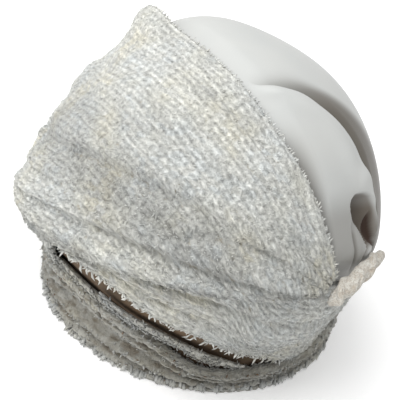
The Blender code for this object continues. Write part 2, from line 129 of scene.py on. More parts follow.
# Narrow creases that lie between the pleats.
CREASES = (
    # fan line of the crease by the gather, at the brow and at the right, depth from 0 to 1,
    # half-width in lines, and from where to where across the head it runs
    (10.6, 9.2, 8.2, 0.7, 0.40, -0.50, 0.50),
    (8.8, 6.9, 5.4, 0.6, 0.30, -0.65, -0.05),
    (9.8, 16.6, 21.0, 0.9, 0.50, 0.58, 0.90),
    (14.4, 14.3, 14.2, 1.0, 0.36, 0.20, 0.90),
    (12.3, 11.7, 11.4, 0.6, 0.30, -0.70, 0.30),
    (4.6, 4.5, 4.4, 0.5, 0.35, -0.10, 0.75),
    (2.6, 2.4, 2.2, 0.5, 0.30, 0.15, 0.60),
)
# Broad hollows of the drape, dipped a little and darkened with painted shade.
HOLLOWS = (
    # fan line of the hollow by the gather, at the brow and at the right, depth from 0 to 1,
    # half-width in lines, and from where to where across the head it runs
    (15.0, 9.7, 7.0, 1.00, 2.6, -0.55, 0.80),
    (17.4, 18.0, 18.0, 1.00, 1.9, -0.38, 0.26),
    (2.6, 2.4, 2.4, 0.30, 1.0, 0.00, 0.40),
    (17.6, 18.0, 18.0, 1.00, 1.8, 0.66, 0.96),
    (6.3, 6.3, 6.2, 0.42, 1.4, -0.75, 0.30),
    (15.5, 15.0, 14.5, 0.38, 1.3, -0.10, 0.62),
)
# How far past its ends a crease or a hollow fades out, as a share of the head's half-width.
CREASE_FADES_OVER = 0.08
FAN_SETTLING_STEPS = 4
# How far from the chord the pleats come in, by the left gather and by the right one.
PLEATS_START_LEFT = (0.06, 0.40)
PLEATS_START_RIGHT = (0.10, 0.62)
PEAK_ACROSS = -0.65
PEAK_ANGLE = 62.0
PEAK_HEIGHT = 13.0 * MM
PEAK_SPREAD_ACROSS = 0.17
PEAK_SPREAD_ANGLE = 9.0

CROWN_LAST_ANGLE = 194.0
# Where the crown's rows and columns lie, as shares of their number: dense by the fold and pocket.
CROWN_ROWS = (
    # share of the rows, row angle about the chord in degrees
    (0.00, 46.0),
    (0.14, 70.0),
    (0.66, 112.0),
    (1.00, CROWN_LAST_ANGLE),
)
CROWN_COLUMNS = (
    # share of the columns, share of the turn from the left gather to the right one
    (0.00, 0.026),
    (0.08, 0.10),
    (0.50, 0.27),
    (0.72, 0.45),
    (1.00, 0.977),
)
FOLD_ROW_ANGLE = 100.0
CROWN_RISES_AFTER = 1.0
CROWN_RISES_OVER = 12.0
CROWN_TUCKS_BETWEEN = (172.0, 187.0)
# How far from the chord the crown comes out of its tuck, leaves the drape's inside and takes up
# the pocket.
CROWN_LEAVES_TUCK = (0.08, 0.15)
CROWN_LEAVES_DRAPE = (0.05, 0.28)
POCKET_STARTS = (0.05, 0.20)
FOLD_LIP = (
    # share of the half-width towards the wearer's left, angle about the chord, depth in mm
    (-1.00, 68.0, 0.0),
    (-0.40, 68.0, 0.0),
    (0.00, 68.0, 0.0),
    (0.10, 68.0, 0.5),
    (0.16, 69.5, 2.0),
    (0.22, 76.0, 4.0),
    (0.28, 84.0, 5.5),
    (0.36, 91.0, 7.0),
    (0.44, 99.5, 7.5),
    (0.54, 108.5, 7.5),
    (0.62, 114.0, 7.5),
    (0.68, 121.5, 7.0),
    (0.73, 134.0, 6.0),
    (0.78, 148.0, 3.0),
    (0.86, 155.0, 0.0),
    (0.95, 156.0, 0.0),
)
FOLD_LIP_WIDTH = 0.016
FOLD_GROOVE_WIDTH = 0.165
FOLD_FULL_DEPTH = 7.5 * MM
# The fold's brown painted shade, over its real groove: where it comes in past the lip, where it
# fades out as a share of its width, that width's share at the left end and between which shares of
# the half-width it widens to full.
FOLD_SHADE_STARTS = (-0.006, 0.004)
FOLD_SHADE_WIDTHS = (0.260, 0.700)
FOLD_SHADE_START_SHARE = 0.45
FOLD_SHADE_WIDENS = (0.22, 0.45)
FOLD_OVERHANG = 0.024
FOLD_OVERHANG_SPREAD = 0.013
# The depth at which it overhangs in full, where the cloth leans over and where it draws back in
# widths of the lip past the lip, and how much less it leans over than it draws back.
FOLD_OVERHANG_DEPTH = 8.0 * MM
FOLD_OVERHANG_PLACES = (-0.6, 0.8)
FOLD_OVERHANG_SHARE = 0.8
INNER_BULGE = 3.6 * MM
INNER_BULGE_BEHIND = 0.07
INNER_BULGE_SPREAD = 0.09
INNER_BULGE_STARTS = (0.0, 0.35)
# The painted shade along the valley beside the drape: from where to where it comes in across
# the head, where it comes in and goes out in degrees past the drape's edge, and how strong that
# brown shade is.
VALLEY_RUN = (0.36, 0.64)
VALLEY_WIDTHS = ((-2.0, 1.0), (2.0, 15.0))
VALLEY_SHADE = 0.72

POCKET_AZIMUTH = 110.5
POCKET_ELEVATION = 30.5
POCKET_DEPTH = 14.5 * MM
POCKET_LEAN = -12.0
POCKET_SIDES = (
    # degrees down from the pocket's middle, its left and right sides in degrees from it
    (-9.8, -4.0, -1.0),
    (-8.0, -6.8, 2.0),
    (-4.9, -7.8, 5.2),
    (-1.6, -6.2, 7.0),
    (1.2, -3.9, 7.6),
    (4.1, -2.0, 7.2),
    (7.0, 0.2, 5.8),
    (9.2, 1.6, 4.0),
)
# Where the pocket's two walls lie, as shares of its width, and its two ends in degrees down.
POCKET_WALLS = ((0.0, 0.13), (0.52, 1.12))
POCKET_ENDS = ((-9.6, -7.4), (6.0, 10.0))
# The pocket's brown painted shade: from which shares of its depth it comes in, and how much
# lighter it is on its right side and at its upper end, each between two angles.
POCKET_SHADE_STARTS = (0.02, 0.30)
POCKET_LIGHTER_RIGHT = (0.4, (5.0, 7.5))
POCKET_LIGHTER_ABOVE = (0.28, (-7.5, -3.5))
# The slit in the pocket: its middle in degrees across and down, its half-length and half-width in
# degrees and how far it goes across for each degree down.
POCKET_SLIT = ((5.8, 2.8), 5.8, 0.75, 0.14)
SLIT_DEPTH = 2.0 * MM
# Where the slit's edge fades out, in its half-lengths and half-widths.
SLIT_EDGE = (0.65, 1.15)
POCKET_RIM_HEIGHT = 4.0 * MM
POCKET_RIM_HALF_WIDTH = 5.5
POCKET_RIM_HALF_HEIGHT = 9.5
# The rim's middle and spread in those halves, and where it comes in across and from the chord.
POCKET_RIM_AT = 1.45
POCKET_RIM_SPREAD = 0.38
POCKET_RIM_STARTS = (-4.0, 3.0)
POCKET_RIM_LEAVES_CHORD = (0.22, 0.48)
POCKET_CREASES = (
    # degrees down from the pocket's middle, where the strip's crease and the crease below the
    # pocket lie in degrees from it
    (-4.0, -7.4, 1.6),
    (-3.1, -7.1, 1.6),
    (2.7, -5.8, 1.5),
    (7.3, -4.2, 1.4),
    (14.2, -2.6, 1.0),
    (18.0, -2.0, 0.8),
)
CREASE_SHAPES = (
    # column of the table above, half-width in degrees, depth in mm, where it comes in going down
    (1, 0.9, 1.8, (-4.5, 0.5)),
    (2, 1.1, 3.2, (5.0, 9.0)),
)
CREASES_END = (13.0, 18.0)
CREASE_SHADES = (
    # column, half-width in degrees, how strong the brown painted shade is, where it comes in and
    # goes out going down
    (1, 1.3, 0.80, (-3.0, 3.0), (13.0, 18.0)),
    (2, 2.2, 0.80, (4.0, 8.0), (16.0, 20.0)),
)
SIDE_SHADES = (
    # how strong the brown painted shade on the cloth beside the pocket and beyond it is, and where
    # that comes in and goes out in degrees across and in degrees down, where 90 is past the crown's
    # end
    (0.50, ((-30.0, -16.0), (-3.0, 2.0)), ((-13.0, -2.0), (90.0, 91.0))),
    (0.85, ((4.5, 7.5), (16.0, 26.0)), ((-7.0, 6.0), (16.0, 26.0))),
)
CAP_HOLLOW_DEPTH = 10.0 * MM
CAP_HOLLOW_SPREAD = 14.0
CAP_EDGE_Z = 2.0 * MM
CAP_TOP_ELEVATION = 88.0

WRAP_STATIONS = (
    # azimuth in degrees, low edge and top edge elevations in degrees, distance from form in mm
    (2.0, 1.8, 4.5, -3.6),
    (9.0, 0.6, 7.0, -3.5),
    (20.0, 1.4, 10.2, -3.5),
    (30.0, 0.2, 12.6, -3.5),
    (42.0, -2.2, 14.8, -3.5),
    (55.0, -5.0, 16.2, -3.5),
    (63.0, -9.5, 16.6, -3.6),
    (70.0, -16.5, 16.8, -3.7),
    (77.0, -21.5, 16.8, -3.8),
    (86.0, -25.5, 16.4, -4.0),
    (93.0, -28.2, 15.4, -3.8),
    (99.0, -29.5, 13.8, -3.8),
    (105.0, -29.5, 12.7, -3.8),
    (120.0, -27.5, 11.0, -3.6),
    (150.0, -25.0, 7.0, -2.4),
    (180.0, -23.8, 4.5, -0.8),
    (210.0, -23.6, 6.5, 1.6),
    (240.0, -23.0, 14.0, 4.6),
    (259.0, -22.4, 19.0, 5.4),
    (274.0, -22.0, 14.0, 5.4),
    (290.0, -21.8, -6.0, 4.5),
    (303.0, -21.6, -15.0, 1.5),
    (312.0, -21.5, -15.5, -2.5),
    (322.0, -22.0, -11.0, -3.6),
    (332.0, -22.0, -7.0, -3.4),
    (343.0, -20.5, -3.5, -3.4),
    (349.0, -13.5, -1.5, -3.6),
    (354.0, -5.5, 0.0, -3.8),
    (358.0, 0.2, 2.2, -4.0),
)
WRAP_RIBS = 3
WRAP_RIB_HEIGHT = 1.2 * MM
# How far in from the wrap's ends its ribs are full, and from its edges its creases are.
WRAP_RIBS_START = 0.1
WRAP_CREASES_START = 0.08
WRAP_CREASE_DEPTH = 0.55
WRAP_CREASE_SHARPNESS = 1.6

BAND_TOP = (
    # azimuth in degrees, height in mm
    (-180.0, 22.5),
    (-90.0, 24.5),
    (-35.0, 25.5),
    (-15.0, 28.5),
    (-3.0, 37.0),
    (8.0, 41.0),
    (20.0, 39.0),
    (34.0, 33.0),
    (46.0, 23.0),
    (58.0, 14.5),
    (70.0, 13.0),
    (84.0, 13.5),
    (100.0, 13.0),
    (120.0, 17.0),
    (150.0, 21.0),
    (180.0, 22.5),
)
BAND_SECTION = (
    # share of the band's height, share of its thickness out from the inner face
    (0.00, 0.00),
    (0.00, 0.45),
    (0.00, 0.80),
    (0.10, 0.96),
    (0.28, 1.05),
    (0.52, 0.80),
    (0.74, 1.04),
    (0.91, 0.90),
    (1.00, 0.55),
    (0.97, 0.15),
    (0.60, 0.00),
)
# Where the band's outer face starts and ends round its section, and where its low spikes and its
# upper tufts stand.
BAND_OUTSIDE = (0.19, 0.80)
BAND_SPIKES_AT = 0.235
BAND_TOP_AT = 0.88
BAND_CREASES = (
    # share of the band's height, depth from 0 to 1, half-width as a share of the height
    (0.21, 0.9, 0.055),
    (0.47, 1.0, 0.110),
    (0.76, 1.0, 0.060),
)

COIL_PATH = (
    # azimuth and elevation in degrees, distance from form in mm, half-width in mm
    (19.0, -7.0, -6.4, 0.8),
    (24.0, -9.4, -5.6, 2.4),
    (30.0, -11.4, -5.2, 3.6),
    (37.0, -13.2, -5.2, 4.1),
    (44.0, -16.0, -5.2, 4.3),
    (50.0, -19.6, -5.4, 4.2),
    (57.0, -23.2, -5.4, 3.8),
    (65.0, -25.8, -5.8, 2.9),
    (72.0, -28.0, -6.4, 1.6),
    (77.0, -29.4, -6.8, 0.8),
)
TOP_COIL_PATH = (
    # azimuth and elevation in degrees, distance from form in mm, half-width in mm
    (-26.0, -22.0, -6.8, 0.8),
    (-18.0, -20.0, -6.2, 2.0),
    (-10.0, -16.8, -6.2, 3.0),
    (-2.0, -13.6, -6.2, 3.6),
    (6.0, -11.9, -6.2, 3.9),
    (14.0, -12.0, -6.2, 3.8),
    (22.0, -14.2, -6.0, 2.9),
    (30.0, -17.2, -6.0, 1.6),
    (36.0, -19.6, -6.6, 0.8),
)
COIL_THICKNESS = 0.62

TAIL_PATH = (
    # azimuth and elevation in degrees, distance from form in mm, half-width in mm
    (93.2, 11.0, 2.4, 2.2),
    (94.2, 13.2, 4.7, 4.8),
    (95.6, 15.6, 6.1, 6.0),
    (98.4, 17.1, 6.7, 6.0),
    (102.0, 18.2, 6.6, 5.7),
    (106.0, 19.0, 6.5, 5.4),
    (110.1, 19.4, 6.3, 5.0),
    (114.2, 19.2, 6.2, 4.3),
    (117.6, 18.4, 6.2, 3.5),
    (119.8, 17.6, 6.3, 1.7),
)
TAIL_FLATNESS = 0.78
TAIL_TURNS = 2.2
TAIL_LOBE_DEPTH = 0.20


def direction(azimuth, elevation):
    """Unit vectors from azimuths (0 at the front, positive to the wearer's left) in degrees."""
    azimuth = np.radians(azimuth)
    elevation = np.radians(elevation)
    level = np.cos(elevation)
    return np.stack([np.sin(azimuth) * level, -np.cos(azimuth) * level,
                     np.sin(elevation) + 0 * azimuth], axis=-1)


def smoothstep(low, high, value):
    """0 below low, 1 above high, with a soft start and end."""
    share = np.clip((value - low) / (high - low), 0.0, 1.0)
    return share * share * (3.0 - 2.0 * share)


def within(rise, fall, value):
    """1 between a soft rise over one span and a soft fall over another, 0 outside them."""
    return smoothstep(*rise, value) * (1.0 - smoothstep(*fall, value))


def off_ends(reach, share):
    """0 at both ends of the shares from 0 to 1, and 1 further in than a reach."""
    return smoothstep(0.0, reach, share) * smoothstep(0.0, reach, 1.0 - share)


def bell(value):
    """1 at 0, falling off softly on both sides."""
    return np.exp(-value * value)


def curve_through(stations, column, where):
    """A smooth curve through one column of a table whose first column is the station."""
    table = np.array(stations)
    x = table[:, 0]
    y = table[:, column]
    slope = np.gradient(y, x)
    where = np.clip(where, x[0], x[-1])
    index = np.clip(np.searchsorted(x, where) - 1, 0, len(x) - 2)
    span = x[index + 1] - x[index]
    share = (where - x[index]) / span
    rest = 1.0 - share
    return (y[index] * rest * rest * (1.0 + 2.0 * share)
            + y[index + 1] * share * share * (1.0 + 2.0 * rest)
            + span * share * rest * (slope[index] * rest - slope[index + 1] * share))


def angle_between(unit, azimuth, elevation):
    """Angles in degrees between unit vectors and one direction."""
    return np.degrees(np.arccos(np.clip(unit @ direction(azimuth, elevation), -1.0, 1.0)))


def form_point(unit, out):
    """The point at distance out from the bouffant form, in the direction of a unit vector."""
    swelling = np.zeros(unit.shape[:-1])
    for azimuth, elevation, height, spread in SWELLINGS:
        swelling = swelling + height * MM * bell(angle_between(unit, azimuth, elevation) / spread)
    up = unit[..., 2]
    out = out + swelling * smoothstep(*SWELLINGS_START, up)
    share = smoothstep(DRAW_IN_FROM, 1.0, 1.0 + np.minimum(up, 0.0) * DRAW_IN_DEPTH / BROW_LINE_Z)
    level = np.maximum(np.sqrt(np.clip(1.0 - up ** 2, 0.0, 1.0)), 1e-9)
    level = np.where(up < 0.0, level, 1.0)
    rise = np.where(up < 0.0, DRAW_IN_DEPTH, FORM_RISE + out)
    flat = [shift * (1.0 - share) + (rim + (form - rim) * share + out) * (unit[..., axis] / level)
            for axis, (form, rim, shift) in enumerate(zip(FORM_HALVES, RIM_HALVES, RIM_SHIFT))]
    return np.stack([*flat, BROW_LINE_Z + rise * up], axis=-1) - SLIDE


GATHER = direction(GATHER_AZIMUTH, GATHER_ELEVATION)
CHORD_BACK = float(GATHER[1])
CHORD_UP = float(GATHER[2])


def chord_arc(angle, turn_share):
    """Unit vectors on the arcs between the two gathers.

    angle is the arc's plane about the chord in degrees, 0 level to the front and 90 upright.
    turn_share runs from 0 at the left gather to 1 at the right one.
    """
    swing = np.radians(angle)
    reach = -CHORD_BACK * np.cos(swing) + CHORD_UP * np.sin(swing)
    radius = np.sqrt(1.0 - CHORD_BACK ** 2 - CHORD_UP ** 2 + reach ** 2)
    start = np.arcsin(reach / radius)
    turn = start + (math.pi - 2.0 * start) * turn_share
    away = radius * np.sin(turn) - reach
    return np.stack([radius * np.cos(turn), CHORD_BACK - away * np.cos(swing),
                     CHORD_UP + away * np.sin(swing)], axis=-1)


def distance_from_chord(unit):
    """How far unit vectors are from the chord, as a share of the form's size."""
    return np.hypot(unit[..., 1] - CHORD_BACK, unit[..., 2] - CHORD_UP)


def across_head(at_gather, at_brow, at_right, across):
    """A parabola across the head through its values by the gather, at the brow and at the right."""
    left, middle, right = FAN_ACROSS
    across = np.clip(across, right, left)
    return (at_gather * (across - middle) * (across - right) / ((left - middle) * (left - right))
            + at_brow * (across - left) * (across - right) / ((middle - left) * (middle - right))
            + at_right * (across - left) * (across - middle) / ((right - left) * (right - middle)))


def fan_direction(at_gather, at_brow, at_right, turn_share):
    """A fan line's unit vectors: each line hangs lower towards the wearer's right."""
    unit = chord_arc(at_brow + 0 * turn_share, turn_share)
    for _ in range(FAN_SETTLING_STEPS):
        unit = chord_arc(across_head(at_gather, at_brow, at_right, unit[..., 0]), turn_share)
    return unit


def fan_lift(unit, angle, line):
    """How far the fan stands off: its pleats die out at both gathers, its top edge peaks."""
    height = np.zeros(unit.shape[:-1])
    for *crest, rise, swell, fall in PLEATS:
        past = line - across_head(*crest, unit[..., 0])
        height = height + rise * MM * bell(past / np.where(past < 0.0, swell, fall))
    left, right = [smoothstep(*span, distance_from_chord(unit))
                   for span in (PLEATS_START_LEFT, PLEATS_START_RIGHT)]
    across = (unit[..., 0] - PEAK_ACROSS) / PEAK_SPREAD_ACROSS
    up = (angle - PEAK_ANGLE) / PEAK_SPREAD_ANGLE
    return (height * np.where(unit[..., 0] > 0.0, left, right)
            + PEAK_HEIGHT * np.exp(-across * across - up * up))


# Where each cloth lies: its outer face from two shares, the first across its rows, the second
# along them.
FAN_TABLE = np.column_stack([np.linspace(0.0, 1.0, len(FAN_LINES)), np.array(FAN_LINES)])


def fan_place(down, along):
    """Unit vectors, angles at the brow and fan lines of the drape's points."""
    angles = [curve_through(FAN_TABLE, column, down) for column in (1, 2, 3)]
    first, last = PILE_UP_SHARES
    unit = fan_direction(*angles, first + (last - first) * along)
    return unit, angles[1], down * (len(FAN_LINES) - 1)


def drape_face(down, along, sunk=0.0):
    """The pleated drape: down runs from its top edge to its low edge, along from left to right."""
    unit, angle, line = fan_place(down, along)
    return form_point(unit, DRAPE_OUT + fan_lift(unit, angle, line) - sunk)


def deepest_of(valleys, line, across):
    """The depth, from 0 to 1, of the deepest of a table's valleys."""
    deepest = np.zeros(across.shape)
    for *valley, depth, width, start, end in valleys:
        past = (line - across_head(*valley, across)) / width
        rise, fall = [(place - CREASE_FADES_OVER, place + CREASE_FADES_OVER)
                      for place in (start, end)]
        deepest = np.maximum(deepest, depth * bell(past) * within(rise, fall, across))
    return deepest


def drape_crease(down, along):
    """How deep the drape's points lie in its creases and in its hollows, each from 0 to 1."""
    unit, _, line = fan_place(down, along)
    return [deepest_of(valleys, line, unit[..., 0]) for valleys in (CREASES, HOLLOWS)]


def wrap_rib(up):
    """1 along the crests of the wrap's ribs and 0 between them."""
    return np.abs(np.sin(math.pi * WRAP_RIBS * up))


def wrap_face(up, along, sunk=0.0):
    """The lower wrap: up runs from its low edge to its top edge, along goes round the head."""
    first, last = WRAP_STATIONS[0][0], WRAP_STATIONS[-1][0]
    azimuth = first + (last - first) * along
    low, high, rest = [curve_through(WRAP_STATIONS, column, azimuth) for column in (1, 2, 3)]
    between = WRAP_RIB_HEIGHT * (1.0 - wrap_rib(up)) * off_ends(WRAP_RIBS_START, along)
    return form_point(direction(azimuth, low + (high - low) * up), rest * MM - between - sunk)


def wrap_crease(up, along):
    """How deep the wrap's points lie between its ribs, from 0 to 1; it has no hollows."""
    rib = wrap_rib(up)
    crease = WRAP_CREASE_DEPTH * np.clip(1.0 - WRAP_CREASE_SHARPNESS * rib, 0.0, 1.0)
    return crease * off_ends(WRAP_CREASES_START, up), 0.0 * rib


def closed_section(share):
    """Height and thickness shares round the band's closed section."""
    corners = np.array(BAND_SECTION)
    place = np.mod(share, 1.0) * len(corners)
    low = np.floor(place).astype(int)
    before, here, after, beyond = [corners[(low + step) % len(corners)] for step in (-1, 0, 1, 2)]
    mix = (place - low)[..., None]
    rest = 1.0 - mix
    bend = (after - before) / 2.0 * mix * rest ** 2 - (beyond - here) / 2.0 * mix ** 2 * rest
    point = here * rest ** 2 * (1.0 + 2.0 * mix) + after * mix ** 2 * (3.0 - 2.0 * mix) + bend
    return np.clip(point[..., 0], 0.0, None), point[..., 1]


def band_face(round_section, along, sunk=0.0):
    """The wound band: round_section goes round its section, along goes round the head."""
    azimuth = -180.0 + 360.0 * along
    height_share, out_share = closed_section(round_section)
    z = curve_through(BAND_TOP, 1, azimuth) * MM * height_share
    elevation = np.degrees(np.arcsin((z - BROW_LINE_Z) / DRAW_IN_DEPTH))
    unit = direction(azimuth, elevation)
    return form_point(unit, BAND_INNER_OUT * (1.0 - out_share) - sunk)


def band_crease(round_section, along):
    """How deep the band's points lie between its rolls, from 0 to 1, as creases and as hollows; as
    hollows they get painted shade.
    """
    height_share, _ = closed_section(round_section)
    deepest = np.zeros(height_share.shape)
    for middle, depth, width in BAND_CREASES:
        deepest = np.maximum(deepest, depth * bell((height_share - middle) / width))
    return deepest, deepest


def along_path(path, place):
    """Azimuths, elevations, distances from form and half-widths at places counted along a path."""
    numbered = np.column_stack([np.arange(len(path)), np.array(path)])
    return [curve_through(numbered, column, place) for column in (1, 2, 3, 4)]


def coil_face(coil_path, round_section, along, sunk=0.0):
    """A narrow coil in the gap: round_section goes round it, along runs from its left end."""
    place = along * (len(coil_path) - 1)
    azimuth, elevation, out, half_width = along_path(coil_path, place)
    before, after = [along_path(coil_path, place + step) for step in (-0.05, 0.05)]
    lean = np.arctan2(after[1] - before[1], after[0] - before[0])
    turn = 2.0 * math.pi * round_section
    wide = (half_width * MM - sunk) * np.cos(turn)
    thick = (half_width * MM * COIL_THICKNESS - sunk) * np.sin(turn)
    degrees_per_metre = 180.0 / (math.pi * DRAW_IN_DEPTH)
    unit = direction(azimuth - wide * np.sin(lean) * degrees_per_metre,
                     elevation + wide * np.cos(lean) * degrees_per_metre)
    return form_point(unit, out * MM + thick)


def pocket_place(unit):
    """Degrees across and down from the pocket's middle, along its lean."""
    centre = direction(POCKET_AZIMUTH, POCKET_ELEVATION)
    side = direction(POCKET_AZIMUTH + 90.0, 0.0)
    down = np.cross(side, centre)
    lean = math.radians(POCKET_LEAN)
    across = np.degrees((unit @ side) * math.cos(lean) - (unit @ down) * math.sin(lean))
    away = np.degrees((unit @ down) * math.cos(lean) + (unit @ side) * math.sin(lean))
    return across, away, unit @ centre > 0.5


def pocket_share(across, down):
    """How deep the pocket is, from 0 to 1: a crisp edge on its left, a soft wall on its right."""
    left, right = [curve_through(POCKET_SIDES, column, down) for column in (1, 2)]
    share = (across - left) / np.maximum(right - left, 1.0)
    return within(*POCKET_WALLS, share) * within(*POCKET_ENDS, down)


def pocket_slit(across, down):
    """Where the slit lies in the pocket's right wall, from 0 to 1: a groove with near-black brown
    painted shade, standing for an opening onto the lining.
    """
    middle, half_length, half_width, slant = POCKET_SLIT
    past = across - middle[0] - slant * (down - middle[1])
    away = np.hypot(past / half_width, (down - middle[1]) / half_length)
    return 1.0 - smoothstep(*SLIT_EDGE, away)


def in_crease(across, down, column, half_width):
    """1 in the middle of one of the creases by the pocket, falling off on both sides."""
    return bell((across - curve_through(POCKET_CREASES, column, down)) / half_width)


def pocket_shape(unit):
    """The pocket's hollow, its rolled rim and the creases below it, in metres outwards."""
    across, down, front = pocket_place(unit)
    hollow = -POCKET_DEPTH * pocket_share(across, down) - SLIT_DEPTH * pocket_slit(across, down)
    away = np.hypot(across / POCKET_RIM_HALF_WIDTH, down / POCKET_RIM_HALF_HEIGHT)
    rim = (POCKET_RIM_HEIGHT * bell((away - POCKET_RIM_AT) / POCKET_RIM_SPREAD)
           * smoothstep(*POCKET_RIM_STARTS, across)
           * smoothstep(*POCKET_RIM_LEAVES_CHORD, distance_from_chord(unit)))
    creases = sum(depth * in_crease(across, down, column, half_width) * smoothstep(*start, down)
                  for column, half_width, depth, start in CREASE_SHAPES)
    creases = creases * (1.0 - smoothstep(*CREASES_END, down))
    return np.where(front, hollow + rim - creases * MM, 0.0)


def fold_parts(unit, angle):
    """How far past the fold's lip points are, the fold's depth there, and its groove's share."""
    lip, depth = [curve_through(FOLD_LIP, column, unit[..., 0]) for column in (1, 2)]
    past = np.radians(angle - lip) * distance_from_chord(unit)
    groove = within((-FOLD_LIP_WIDTH, 0.0), (0.0, FOLD_GROOVE_WIDTH), past)
    return past, np.clip(depth, 0.0, None) * MM, groove


def crown_out(unit, angle):
    """The crown's distance from the form: tucked at both edges, folded between them."""
    across = unit[..., 0]
    near = distance_from_chord(unit)
    past, depth, groove = fold_parts(unit, angle)
    bulge = (INNER_BULGE * bell((past + INNER_BULGE_BEHIND) / INNER_BULGE_SPREAD)
             * smoothstep(*INNER_BULGE_STARTS, across))
    fan_edge = across_head(*FAN_LINES[0], across)
    rises = smoothstep(0.0, CROWN_RISES_OVER, angle - fan_edge - CROWN_RISES_AFTER)
    out = CROWN_UNDER_DRAPE * (1.0 - rises) + (bulge - depth * groove) * rises
    out = CROWN_UNDER_DRAPE + (out - CROWN_UNDER_DRAPE) * smoothstep(*CROWN_LEAVES_DRAPE, near)
    out = out + pocket_shape(unit) * smoothstep(*POCKET_STARTS, near)
    tucks = np.maximum(smoothstep(*CROWN_TUCKS_BETWEEN, angle),
                       1.0 - smoothstep(*CROWN_LEAVES_TUCK, near))
    return out + (CROWN_UNDER_WRAP - out) * tucks


def crown_row_angle(row_angle, across):
    """A row's angle about the chord: the rows spread apart on both sides of the fold's lip."""
    lip = curve_through(FOLD_LIP, 1, across)
    first, last = CROWN_ROWS[0][1], CROWN_LAST_ANGLE
    before = first + (row_angle - first) * (lip - first) / (FOLD_ROW_ANGLE - first)
    after = last - (last - row_angle) * (last - lip) / (last - FOLD_ROW_ANGLE)
    return np.where(row_angle < FOLD_ROW_ANGLE, before, after)


def crown_place(back, along):
    """Unit vectors, angles about the chord and shares of the turn of the crown's points."""
    row_angle = curve_through(CROWN_ROWS, 1, back)
    turn_share = curve_through(CROWN_COLUMNS, 1, along)
    angle = row_angle + 0 * turn_share
    for _ in range(FAN_SETTLING_STEPS):
        angle = crown_row_angle(row_angle, chord_arc(angle, turn_share)[..., 0])
    return chord_arc(angle, turn_share), angle, turn_share


def crown_face(back, along, sunk=0.0):
    """The smooth crown: back runs from under the drape over the top to the nape."""
    unit, angle, turn_share = crown_place(back, along)
    out = crown_out(unit, angle)
    past, depth, _ = fold_parts(unit, angle)
    over, under = [bell((past - place * FOLD_LIP_WIDTH) / FOLD_OVERHANG_SPREAD)
                   for place in FOLD_OVERHANG_PLACES]
    lean = FOLD_OVERHANG * (FOLD_OVERHANG_SHARE * over - under)
    lean = lean * np.clip(depth / FOLD_OVERHANG_DEPTH, 0.0, 1.0)
    shift = np.degrees(lean / np.maximum(distance_from_chord(unit), 0.2))
    return form_point(chord_arc(angle + shift, turn_share), out - sunk)


def crown_shade(back, along):
    """How much brown painted shade the crown gets in its fold and round its pocket, in its pocket
    and in its slit, each from 0 to 1.
    """
    unit, angle, _ = crown_place(back, along)
    past, depth, _ = fold_parts(unit, angle)
    widens = smoothstep(*FOLD_SHADE_WIDENS, unit[..., 0])
    wide = FOLD_SHADE_START_SHARE + (1.0 - FOLD_SHADE_START_SHARE) * widens
    # Painted shade in the fold's groove and on the roll past it, full where the fold is deep.
    fold = (smoothstep(0.0, FOLD_FULL_DEPTH, depth) * smoothstep(*FOLD_SHADE_STARTS, past)
            * (1.0 - smoothstep(*FOLD_SHADE_WIDTHS, past / wide)))
    past_drape = angle - across_head(*FAN_LINES[0], unit[..., 0])
    valley = smoothstep(*VALLEY_RUN, unit[..., 0]) * within(*VALLEY_WIDTHS, past_drape)
    across, down, front = pocket_place(unit)
    # Painted shade in the creases by the pocket and on the cloth beside and beyond it.
    sides = [brown * in_crease(across, down, column, half_width) * within(*span, down)
             for column, half_width, brown, *span in CREASE_SHADES]
    sides += [brown * within(*wide_span, across) * within(*high_span, down)
              for brown, wide_span, high_span in SIDE_SHADES]
    beside = np.where(front, np.maximum.reduce(sides), 0.0)
    fold = np.maximum.reduce([fold, VALLEY_SHADE * valley, beside])
    # Painted shade inside the pocket, lighter on its right side and at its upper end.
    pocket = smoothstep(*POCKET_SHADE_STARTS, pocket_share(across, down))
    lighter, span = POCKET_LIGHTER_RIGHT
    pocket = pocket * (1.0 - lighter * smoothstep(*span, across))
    lighter, span = POCKET_LIGHTER_ABOVE
    pocket = pocket * (1.0 - lighter + lighter * smoothstep(*span, down))
    return fold, np.where(front, pocket, 0.0), np.where(front, pocket_slit(across, down), 0.0)


def grid_shares(rows, columns, first=0.0, last=1.0):
    """Shares down the rows, from first to last, and along the columns of a grid."""
    return np.meshgrid(np.linspace(first, last, rows), np.linspace(0.0, 1.0, columns),
                       indexing="ij")


def add_object(name, data):
    """A new object in the scene."""
    made = bpy.data.objects.new(name, data)
    bpy.context.scene.collection.objects.link(made)
    return made


def add_piece(name, mesh):
    """A piece that rides on the turban's one body."""
    piece = add_object(name, mesh)
    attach(piece, "root")
    return piece


def closed_piece(name, points, faces):
    """A closed piece from points and faces, shaded smooth, with its faces outwards."""
    mesh = bpy.data.meshes.new(name)
    mesh.from_pydata(points.reshape(-1, 3).tolist(), [], faces)
    mesh.update()
    mesh.shade_smooth()
    builder = bmesh.new()
    builder.from_mesh(mesh)
    bmesh.ops.recalc_face_normals(builder, faces=builder.faces[:])
    builder.to_mesh(mesh)
    builder.free()
    return add_piece(name, mesh)


def grid_faces(rows, columns, start=0, ring=False, rolled=False):
    """Quads of a grid whose points start at a number.

    In a ring the last column meets the first one. Rolled up, the last row meets the first one.
    """
    faces = []
    for i in range(rows if rolled else rows - 1):
        for j in range(columns if ring else columns - 1):
            here, below = start + i * columns, start + (i + 1) % rows * columns
            k = (j + 1) % columns
            faces.append([here + j, here + k, below + k, below + j])
    return faces


